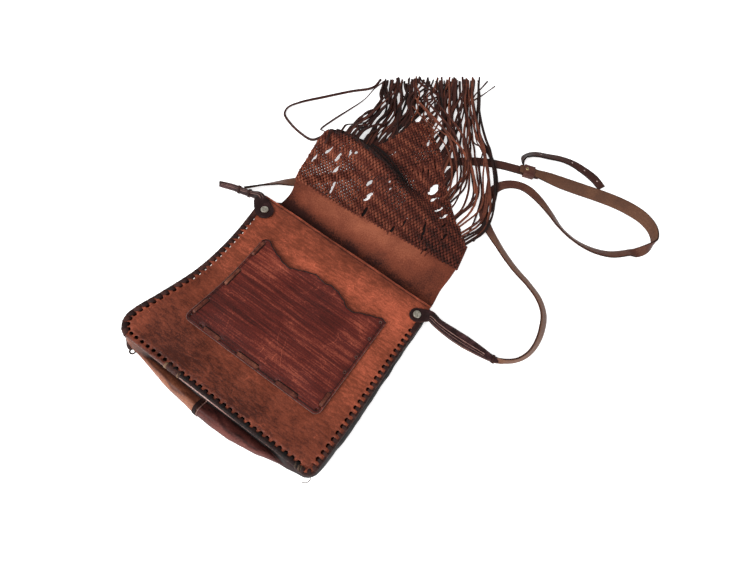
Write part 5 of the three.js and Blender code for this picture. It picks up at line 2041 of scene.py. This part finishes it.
@dataclass(frozen=True)
class Net:
    """Knotted net of thongs that carries on the flap."""

    form: BagForm
    flap: BackFlap
    columns: int = 96
    row_step: float = 3.5
    thong_width: float = 4.0
    thong_depth: float = 1.5
    knot_long: float = 4.8
    knot_wide: float = 3.0
    jitter: float = 0.4
    front_spread: float = 28.0
    back_spread: float = 13.0
    left_bulge: float = 6.0
    crest: tuple[tuple[float, float], ...] = (
        (-126, 247), (-118, 256), (-107, 260), (-89, 256), (-65, 250), (-48, 247), (-32, 246),
        (-13, 241))

    def height(self, x: Array, y: Array) -> Array:
        """Height of the net's underside.

        Args:
            x: Places across the bag.
            y: Places up the bag.

        Returns:
            The height at each place.
        """
        behind = y - column(RIDGE_ROWS, "x", "y").at(x)
        spread = np.where(behind < 0, self.front_spread, self.back_spread)
        ridge = column(RIDGE_ROWS, "x", "height").at(x) * np.exp(-((behind / spread) ** 2))
        lobe = 5.0 * np.exp(-((x + 20) ** 2 + (y - 320) ** 2) / 30.0**2)
        return self.form.over_straps(x, y, 0.5) + ridge + lobe

    def plan(self, across: Array, way: Array) -> Array:
        """Points of the net in plan.

        Args:
            across: Share of the way across.
            way: Share of the way from the flap to the far edge.

        Returns:
            The points, with x and y along the last axis.
        """
        start = self.flap.point(across, 1.0)
        bulge = self.left_bulge * np.sin(np.pi * way) * (1 - across) ** 4
        x = mix(start[..., 0], column(NET_ROWS, "way", "x").at(across), way) - bulge
        y = mix(start[..., 1], column(NET_ROWS, "way", "y").at(across), way)
        return np.stack([x, y], axis=-1)

    def _opened(self, plan: Array) -> Array:
        """Push the net aside from its slits.

        Args:
            plan: Points of the net in plan.

        Returns:
            The moved points.
        """
        moved = plan.copy()
        for s in SLITS:
            u, v = s.local(plan[..., 0], plan[..., 1])
            open_half = s.wide * np.sqrt(np.clip(1 - (u / (s.long * 1.25)) ** 2, 0, 1))
            push = np.sign(v + 1e-6) * open_half * np.exp(-((v / (2.6 * s.wide + 2)) ** 2))
            moved += s.spot(0.0, push) - np.array([s.x, s.y])
        return moved

    def _crosses(self, a: Array, b: Array) -> bool:
        """Whether a thong would cross an open slit.

        Args:
            a: Start of the thong in plan.
            b: End of the thong in plan.

        Returns:
            True if it would.
        """
        for s in SLITS:
            (_, va), (_, vb) = s.local(*a), s.local(*b)
            if va * vb < 0 and abs(s.local(*mix(a, b, va / (va - vb)))[0]) < s.long:
                return True
        return False

    def build(self) -> None:
        """Knot the net from thongs that swing from column to column and turns that join them."""
        across = np.linspace(0, 1, self.columns + 1)
        near, far = (self.plan(across, np.full(across.shape, end)) for end in (0.0, 1.0))
        length = np.linalg.norm(near - far, axis=1)
        rows = int(length.max() / self.row_step) + 1
        way = np.arange(rows + 1)[None, :] * self.row_step / length[:, None]
        plan = self.plan(np.broadcast_to(across[:, None], way.shape), np.minimum(way, 1.0))
        jitter = np.stack([rumple(plan[..., 0], plan[..., 1], 2.3, seed) for seed in (11.0, 12.0)], -1)
        opened = self._opened(plan + self.jitter * jitter)
        knots = np.dstack([opened, self.height(opened[..., 0], opened[..., 1]) + NET_DEPTH / 2])
        present = way <= 1.0
        skin, lumps = Skin(), Skin()
        for number in range(self.columns):
            self._strand(skin, number, plan, knots, present)
        for slit in SLITS:
            self._border(skin, slit)
        self._rims(skin)
        for col in range(self.columns + 1):
            for row in range(col % 2, rows, 2):
                if present[col, row]:
                    self._knot(lumps, knots, col, row)
        skin.build("net_thongs", (NET_LEATHER,), "net_leather", "flap_net", crease=THONG_CREASE)
        lumps.build("net_knots", (NET_LEATHER,), "net_leather", crease=THONG_CREASE)

    def _rims(self, skin: Skin) -> None:
        """Bind both sides of the net, and its far edge where it lies on the crest.

        Args:
            skin: Piece that takes them.
        """
        crest, place = smooth_path(np.array(self.crest, float), 1.5)
        thick = mix(1.0, 0.45, ease(place, 3.0, 6.0))
        out = np.gradient(crest, axis=0)[:, ::-1] * np.array([1.0, -1.0])
        for lag, tone in ((0.0, -0.9), (2.1, -0.7), (4.2, -0.95)):
            turn = place * 7 + lag
            plan = crest + unit(out) * (1.7 * np.sin(turn) * thick)[:, None]
            path = draped(plan, self.height, NET_DEPTH + 0.4 + 1.2 * np.cos(turn) * thick)
            add_band(skin, path, 0.0, 3.4 * thick, 2.4 * thick, ROUND_BAND, tone=tone)
        way = np.linspace(0.02, 0.99, 40)
        for side in (0.0, 1.0):
            rim = draped(self.plan(np.full(way.shape, side), way), self.height, NET_DEPTH / 2)
            add_band(skin, rim, 0.0, 3.4, 2.6, ROUND_BAND, tone=-0.15)

    def _knot(self, skin: Skin, knots: Array, col: int, row: int) -> None:
        """Add the turn of thong that holds two neighbours together.

        Args:
            skin: Piece that takes it.
            knots: Places of all the knots, by column and row.
            col: Column of this knot.
            row: Row of this knot.
        """
        run = unit(knots[col, min(row + 1, knots.shape[1] - 1)] - knots[col, max(row - 1, 0)])
        lean = 0.3 if col % 2 else -0.3
        run = unit(run + lean * np.array([run[1], -run[0], 0.0]))
        size = self.knot_long * (1 + 0.15 * math.sin(col * 2.3 + row * 1.1))
        path = knots[col, row] + np.outer(np.array([-0.5, -0.22, 0.22, 0.5]) * size, run)
        path[:, 2] += self.thong_depth * np.array([0.1, 0.72, 0.72, 0.1])
        tone = 0.1 + 0.35 * math.sin(col * 12.9 + row * 7.7) + self._shade(path[:, 0], path[:, 1])
        width = self.knot_wide * np.array([0.5, 1.0, 1.0, 0.5])
        add_band(skin, path, 0.0, width, self.thong_depth, tone=tone)

    def _border(self, skin: Skin, slit: Slit) -> None:
        """Add the two thongs that bound a slit, over a dark strip of painted shadow where no floor
        shows through.

        Args:
            skin: Piece that takes them.
            slit: The slit.
        """
        share = np.linspace(-1, 1, 15)
        u = share * slit.long * 1.15
        if slit.shaded:
            # Painted shadow: a dark strip under a slit that shows no floor.
            shadow_strip = draped(slit.spot(u, 0.0), self.height, 0.5)
            add_band(skin, shadow_strip, 0.0, 2 * slit.wide + 4, 0.6, tone=-2.0)
        for sign in (1, -1):
            v = sign * ((slit.wide + 0.5) * np.sqrt(np.clip(1 - share**2, 0, 1)) + 0.5)
            path = draped(slit.spot(u, v), self.height, NET_DEPTH / 2 + 0.55)
            add_band(skin, path, 0.0, 2.2, 1.5, tone=0.1 * sign + self._shade(path[:, 0], path[:, 1]))

    def _shade(self, x: Array, y: Array) -> Array:
        """Tone of the net: painted shade in the valley behind its crest, darker toward its right end,
        lighter in front of the crest at the left.

        Args:
            x: Places across the bag.
            y: Places up the bag.

        Returns:
            The tone at each place.
        """
        behind = y - column(RIDGE_ROWS, "x", "y").at(x)
        # Painted shade in the valley behind the crest.
        valley = np.exp(-(((behind - 13) / 11) ** 2)) * (1 - ease(x, -20, 40))
        pale = (1 - ease(x, -100, 0)) * (1 - ease(behind, -10, 5))
        return -1.15 * valley - 0.4 * ease(x, 10, 100) + 0.2 * pale

    def _strand(self, skin: Skin, number: int, plan: Array, knots: Array, present: Array) -> None:
        """Add one thong that swings between two columns of knots, broken where slits lie open.

        Args:
            skin: Piece that takes it.
            number: Column on its left.
            plan: Places of the knots before the slits open.
            knots: Places of the knots.
            present: Which knots lie on the net.
        """
        runs: list[list[Array]] = [[]]
        last = None
        for row in range(plan.shape[1]):
            col, other = (number, number + 1) if (number + row) % 2 == 0 else (number + 1, number)
            if not present[col, row]:
                break
            if last is not None and self._crosses(plan[last], plan[col, row]):
                runs.append([])
            runs[-1].append(mix(knots[col, row], knots[other, row], 0.22))
            last = (col, row)
        for run in runs:
            if len(run) > 1:
                path = np.array(run)
                x, y = path[:, 0], path[:, 1]
                slack = np.exp(-(((x + 88) / 45) ** 2 + ((y - 196) / 32) ** 2))
                # The thongs are darker than the knots on them: painted shade between the knots.
                tone = -0.55 + 0.2 * math.sin(number * 1.7) + self._shade(x, y)
                width = self.thong_width - 1.5 * slack + 0.6 * ease(y, 258, 276)
                add_band(skin, path, 0.0, width, self.thong_depth, tone=tone)


@dataclass(frozen=True)
class LooseThong:
    """Thong that lies apart from the bundle: its points, with their height above the floor."""

    points: tuple[tuple[float, float, float], ...]
    width: float = 2.7
    tone: float = -0.3


LOOSE_THONGS = table(LooseThong, (
    (((-131, 240, 12), (-143, 229, 5), (-165, 230, 2), (-187, 235, 2), (-203, 243, 2), (-207, 256, 2),
        (-200, 274, 2), (-179, 306, 2), (-156, 340, 2), (-134, 367, 4), (-134, 387, 5)), 3.6),
    (((-128, 246, 12), (-140, 251, 6), (-146, 252, 3), (-147, 257, 2), (-143, 282, 2), (-137, 310, 2),
        (-131, 340, 3), (-130, 367, 6), (-127, 387, 6)),),
    (((-122, 256, 17), (-104, 264, 13), (-82, 264, 12), (-60, 261, 11), (-36, 257, 11), (-12, 247, 10)),
        3.6, -0.9),
    (((-112, 262, 12), (-92, 268, 10), (-70, 268, 9.5), (-46, 264, 10), (-20, 255, 9)), 3.6, -0.75),
    (((-98, 268, 9), (-78, 273, 8), (-56, 272, 8.5), (-30, 264, 8.5), (-4, 250, 8)), 3.4, -0.95),
    (((-117, 224, 21), (-118, 230, 23), (-121, 238, 23), (-124, 248, 22)), 4.4),
    (((-71, 385, 10), (-49, 376, 12), (-24, 367, 13), (10, 355, 12), (28, 347, 11), (48, 336, 9),
        (65, 323, 7), (84, 296, 5)), 3.0, 0.7),
    (((-45, 366, 11), (-38, 359, 12), (-11, 353, 13), (16, 351, 12), (32, 346, 11), (52, 335, 9),
        (74, 312, 6)), 3.0, 0.5),
    (((-63, 380, 11), (-30, 366, 13), (-2, 357, 13), (23, 338, 11), (42, 316, 9), (56, 293, 7),
        (62, 272, 5), (60, 260, 4)), 3.2, 0.25),
    (((-63, 393, 11), (-18, 375, 12), (13, 360, 12), (39, 336, 10), (58, 306, 8), (68, 278, 6),
        (70, 263, 5), (69, 252, 4)), 3.2, -0.1),
    (((-65, 368, 11), (-35, 354, 13), (-6, 344, 13), (20, 329, 11), (39, 307, 9), (50, 287, 8),
        (54, 273, 5), (53, 263, 4)), 3.0, 0.4),
    (((-58, 406, 10), (-13, 385, 12), (15, 372, 11), (42, 349, 9), (61, 320, 7), (76, 290, 6),
        (82, 262, 5), (80, 246, 4)), 3.2, 0.1),
    (((-14, 426, 10), (-6, 412, 12), (2, 386, 12), (4, 365, 10)),),
    (((10, 496, 3), (3, 459, 5), (-2, 437, 8), (-8, 415, 8)),),
    (((-4, 496, 4), (-4, 472, 6), (-4, 453, 9), (-2, 430, 9)),),
    (((-17, 488, 3), (1, 463, 2), (20, 427, 2), (39, 395, 2), (53, 382, 3), (59, 365, 3), (66, 344, 2),
        (80, 323, 2), (93, 301, 2), (104, 262, 3), (108, 234, 4)),),
    (((8, 420, 8), (23, 396, 5), (39, 375, 3), (52, 375, 3), (68, 370, 2), (80, 358, 2), (97, 333, 4),
        (112, 296, 4), (119, 262, 3), (119, 230, 4)),),
))


# Runs of the locks of the fringe in plan, each from the net's edge to its end
FLOW_LINES = (
    ((-118, 262), (-117, 292), (-110, 320), (-109, 339), (-115, 356), (-129, 387)),
    ((-93, 268), (-95, 306), (-93, 337), (-101, 366), (-119, 398)),
    ((-68, 276), (-70, 300), (-73, 329), (-82, 364), (-105, 410)),
    ((-55, 306), (-57, 328), (-61, 349), (-70, 379), (-92, 422)),
    ((-44, 361), (-52, 381), (-63, 407), (-78, 434)),
    ((-22, 358), (-27, 386), (-41, 412), (-63, 447)),
    ((10, 326), (1, 360), (-17, 387), (-35, 417), (-52, 456)),
    ((32, 298), (26, 334), (4, 363), (-18, 406), (-43, 465)),
    ((52, 274), (46, 317), (25, 344), (4, 387), (-15, 435), (-35, 471)),
    ((68, 261), (72, 294), (59, 327), (35, 364), (5, 412), (-31, 475)),
    ((92, 242), (97, 281), (79, 321), (53, 355), (19, 399), (-7, 441), (-27, 478)),
    ((108, 229), (116, 253), (110, 287), (93, 321), (67, 356), (37, 390), (2, 436), (-22, 483)),
    ((117, 223), (124, 251), (118, 289), (101, 328), (80, 357), (62, 375), (36, 401), (4, 450),
     (-16, 488)),
)


@dataclass(frozen=True)
class Fringe:
    """Thongs that hang from the net's far edge and are swept to one side."""

    form: BagForm
    net: Net
    counts: tuple[int, ...] = (11, 11, 11, 11, 10, 10, 8, 6, 5, 4, 3, 4)
    width: float = 3.3
    depth: float = 1.2
    layers: float = 9.0
    samples: int = 34
    seed: int = 5

    def _flow(self, place: float) -> Array:
        """Run in plan between two neighbouring flow lines.

        Args:
            place: Number of the flow line on the left, plus the share of the way to the next.

        Returns:
            Points of the run.
        """
        near = min(int(place), len(FLOW_LINES) - 2)
        share = np.linspace(0, 1, self.samples)
        runs = []
        for line in FLOW_LINES[near : near + 2]:
            points, _ = smooth_path(np.array(line), 2.0)
            run = np.linspace(0, 1, len(points))
            runs.append(np.stack([np.interp(share, run, axis) for axis in points.T], axis=1))
        return mix(runs[0], runs[1], place - near)

    def _thong(self, skin: Skin, lock: int, random: np.random.Generator) -> None:
        """Add one thong from inside the net's edge to its end.

        Args:
            skin: Piece that takes it.
            lock: Number of the flow line on its left.
            random: Source of its small irregularities.
        """
        last = len(FLOW_LINES) - 1
        place = lock + random.uniform(0.02, 0.98)
        clump = np.clip(lock + random.choice((0.12, 0.5, 0.85)) + random.normal(0, 0.07), 0, last)
        end = np.clip(clump + random.normal(0, 0.8), 0, last)
        share = np.linspace(0, 1, self.samples)
        gather = ease(share, 0.02, random.uniform(0.25, 0.5))[:, None]
        spread = ease(share, random.uniform(0.4, 0.7), 1.0)[:, None]
        plan = mix(mix(self._flow(place), self._flow(clump), gather), self._flow(end), spread)
        edge = np.linspace(0, 1, 240)
        far = self.net.plan(edge, np.ones(240))
        across = edge[np.argmin(np.linalg.norm(far - plan[0], axis=1))]
        inner = self.net.plan(np.array(across), np.array(0.95))
        plan = np.vstack([inner[None], self.net.plan(np.array(across), np.array(1.0))[None], plan[2:]])
        along = unit(np.gradient(plan, axis=0))
        side = np.stack([along[:, 1], -along[:, 0]], axis=1)
        share = np.linspace(0, 1, len(plan))
        swing = random.uniform(0.8, 4.0)
        phase = share * random.uniform(2, 6) * np.pi + random.uniform(0, 6)
        wave = swing * np.sin(phase) * np.sin(np.pi * share)
        plan = plan + side * wave[:, None] + along[-1] * (share**3 * random.uniform(-7, 3))[:, None]
        rest = self.form.over_straps(plan[:, 0], plan[:, 1], 0.4) + self.depth / 2
        start_z = self.net.height(inner[:1], inner[1:])[0] + NET_DEPTH / 2 + random.uniform(-0.5, 1.0)
        layer = random.uniform(0.0, self.layers) * ease(share, 0.05, 0.5)
        z = np.maximum(mix(start_z, rest, ease(share, 0.04, random.uniform(0.25, 0.45))), rest) + layer
        lean, twist = random.uniform(-25, 25), random.uniform(-40, 40)
        tilt = lean + twist * np.sin(share * random.uniform(1, 4) * np.pi)
        width = self.width * random.uniform(0.8, 1.2)
        points = np.column_stack([plan, z + np.abs(np.sin(np.radians(tilt))) * width / 2])
        tone = random.uniform(-0.9, 0.2) if place < 3 else random.uniform(-0.8, 0.55)
        add_band(skin, points, tilt * ease(share, 0.0, 0.2), width, self.depth, tone=tone)

    def build(self) -> None:
        """Make the bundle and the thongs that lie apart from it."""
        random = np.random.default_rng(self.seed)
        skin = Skin()
        for lock, count in enumerate(self.counts):
            for _ in range(count):
                self._thong(skin, lock, random)
        skin.build("fringe_thongs", (THONG_LEATHER,), "fringe_leather", "fringe", crease=THONG_CREASE)
        apart = Skin()
        for thong in LOOSE_THONGS:
            path, _ = smooth_path(np.array(thong.points), 3.0)
            share = np.linspace(0, 1, len(path))
            tilt = 50 * np.sin(share * 5 + thong.width * 7 + thong.points[0][0])
            add_band(apart, path, tilt, thong.width, self.depth, tone=thong.tone)
        apart.build("fringe_loose_thongs", (THONG_LEATHER,), "fringe_leather", crease=THONG_CREASE)


# ---------------------------------------------------------------------------------------------
# Studio


@dataclass(frozen=True)
class Studio:
    """Pale floor, soft light and the camera at the photograph's angle."""

    azimuth: float = 21.0
    elevation: float = 65.4
    roll: float = 14.7
    distance: float = 539.0
    target: tuple[float, float, float] = (51.0, 98.0, 20.0)
    focal: float = 456.0
    floor: float = 6.0
    aim: tuple[float, float, float] = (0.05, 0.15, 0.0)

    def camera(self) -> None:
        """Place the camera; focal is in pixels of the photograph."""
        a, e, r = (math.radians(v) for v in (self.azimuth, self.elevation, self.roll))
        back = Vector((math.sin(a) * math.cos(e), -math.cos(a) * math.cos(e), math.sin(e)))
        right = Vector((0, 0, 1)).cross(back).normalized()
        up = back.cross(right)
        turned_right = right * math.cos(r) + up * math.sin(r)
        turned_up = up * math.cos(r) - right * math.sin(r)
        data = bpy.data.cameras.new("camera")
        data.sensor_width = 36.0
        data.sensor_fit = "HORIZONTAL"
        data.lens = self.focal / IMAGE_WIDTH * data.sensor_width
        data.clip_start = 0.01
        camera = bpy.data.objects.new("camera", data)
        eye = (Vector(self.target) + back * self.distance) * MM
        turn = Matrix((turned_right, turned_up, back)).transposed().to_4x4()
        camera.matrix_world = Matrix.Translation(eye) @ turn
        bpy.context.scene.collection.objects.link(camera)
        bpy.context.scene.camera = camera

    def light(self, name: str, place: tuple[float, float, float], power: float, size: float) -> None:
        """Add one soft light that faces the bag.

        Args:
            name: Name of the light.
            place: Where it stands, in metres.
            power: Its power in watts.
            size: Length of its side in metres.
        """
        data = bpy.data.lights.new(name, "AREA")
        data.energy, data.size = power, size
        lamp = bpy.data.objects.new(name, data)
        turn = (Vector(self.aim) - Vector(place)).to_track_quat("-Z", "Y").to_matrix().to_4x4()
        lamp.matrix_world = Matrix.Translation(place) @ turn
        bpy.context.scene.collection.objects.link(lamp)

    def build(self) -> None:
        """Set up floor, light and camera."""
        self.camera()
        mesh = bpy.data.meshes.new("floor")
        corners = [(self.floor * x, self.floor * y, 0) for x, y in ((-1, -1), (1, -1), (1, 1), (-1, 1))]
        mesh.from_pydata(corners, [], [(0, 1, 2, 3)])
        floor = bpy.data.objects.new("floor", mesh)
        bpy.context.scene.collection.objects.link(floor)
        mesh.materials.append(OPAL_BOARD.material())
        world = bpy.data.worlds.new("soft_room")
        bpy.context.scene.world = world
        world.use_nodes = True
        tree = world.node_tree
        tree.nodes.clear()
        # White walls under a dimmer ceiling, so that the floor runs into them without a line
        where = add_node(tree, "TexCoord", output="Generated")
        up = add_node(tree, "SeparateXYZ", {}, {0: where}, "Z")
        fall = {"interpolation_type": "SMOOTHSTEP", "range": (0.0, 0.5, 1.0, 0.34)}
        glow = add_node(tree, "MapRange", fall, {"Value": up})
        room = add_node(tree, "Background", {"Color": linear("#ffffff")}, {"Strength": glow})
        add_node(tree, "OutputWorld", {}, {"Surface": room})
        self.light("window", (-1.0, -2.0, 2.3), 115.0, 1.9)
        self.light("bounce", (1.9, -0.6, 1.9), 18.0, 1.9)
        bpy.context.scene.view_settings.view_transform = "Standard"
        LOG.info("studio: floor, two lights, camera")


# ---------------------------------------------------------------------------------------------


def main() -> None:
    """Build the bag and the studio round it."""
    logging.basicConfig(level=logging.INFO, format="%(name)s: %(message)s")
    Studio().build()
    left_rivet, right_rivet = (-112.0, 94.0), (113.5, 93.0)
    # The long strap darkens near its right end: painted shadow of the fringe that lies over it there.
    long_tone = Stations((0.0, 0.12, 0.6, 0.88, 1.0), (-0.8, 0.3, 0.1, -0.5, 0.1))
    main_tone = Stations(
        (0.0, 0.3, 0.45, 0.58, 0.64, 0.74, 1.0), (-0.1, 0.1, 0.3, 0.15, -0.3, 0.45, 0.5))
    tail_tone = Stations((0.0, 0.3, 1.0), (-0.9, -0.6, -0.5))
    Strap("strap_long_band", "strap_long", STRAP_LONG_ROWS, True, long_tone).build()
    Strap("strap_main_band", "strap_main", STRAP_MAIN_ROWS, False, main_tone).build()
    holes = (0.3, 0.62, 0.76, 0.93)
    Strap("strap_tail_band", "strap_tail", STRAP_TAIL_ROWS, False, tail_tone, holes).build()
    StrapJoint().build()
    form = BagForm()
    lacing = Lacing(form)
    flap = BackFlap(form)
    net = Net(form, flap)
    FrontPanel(form, lacing, (left_rivet, right_rivet)).build()
    flap.build()
    Gusset(form).build()
    Pocket(form).build()
    lacing.build()
    left = StrapBase(
        "left", form, left_rivet, LEFT_BASE_ROWS, wraps=((0.55, 3.6), (0.72, 3.6)), edge=(0.3, 0.98),
        edge_tone=-0.5, fold_tone=0.15)
    right = StrapBase(
        "right", form, right_rivet, RIGHT_BASE_ROWS, wraps=((0.955, 2.6),), edge=(0.2, 0.86),
        edge_tone=-0.1, fold_tone=0.1, tab_radius=8.8)
    left.build()
    right.build()
    net.build()
    Fringe(form, net).build()


if __name__ == "__main__":
    main()
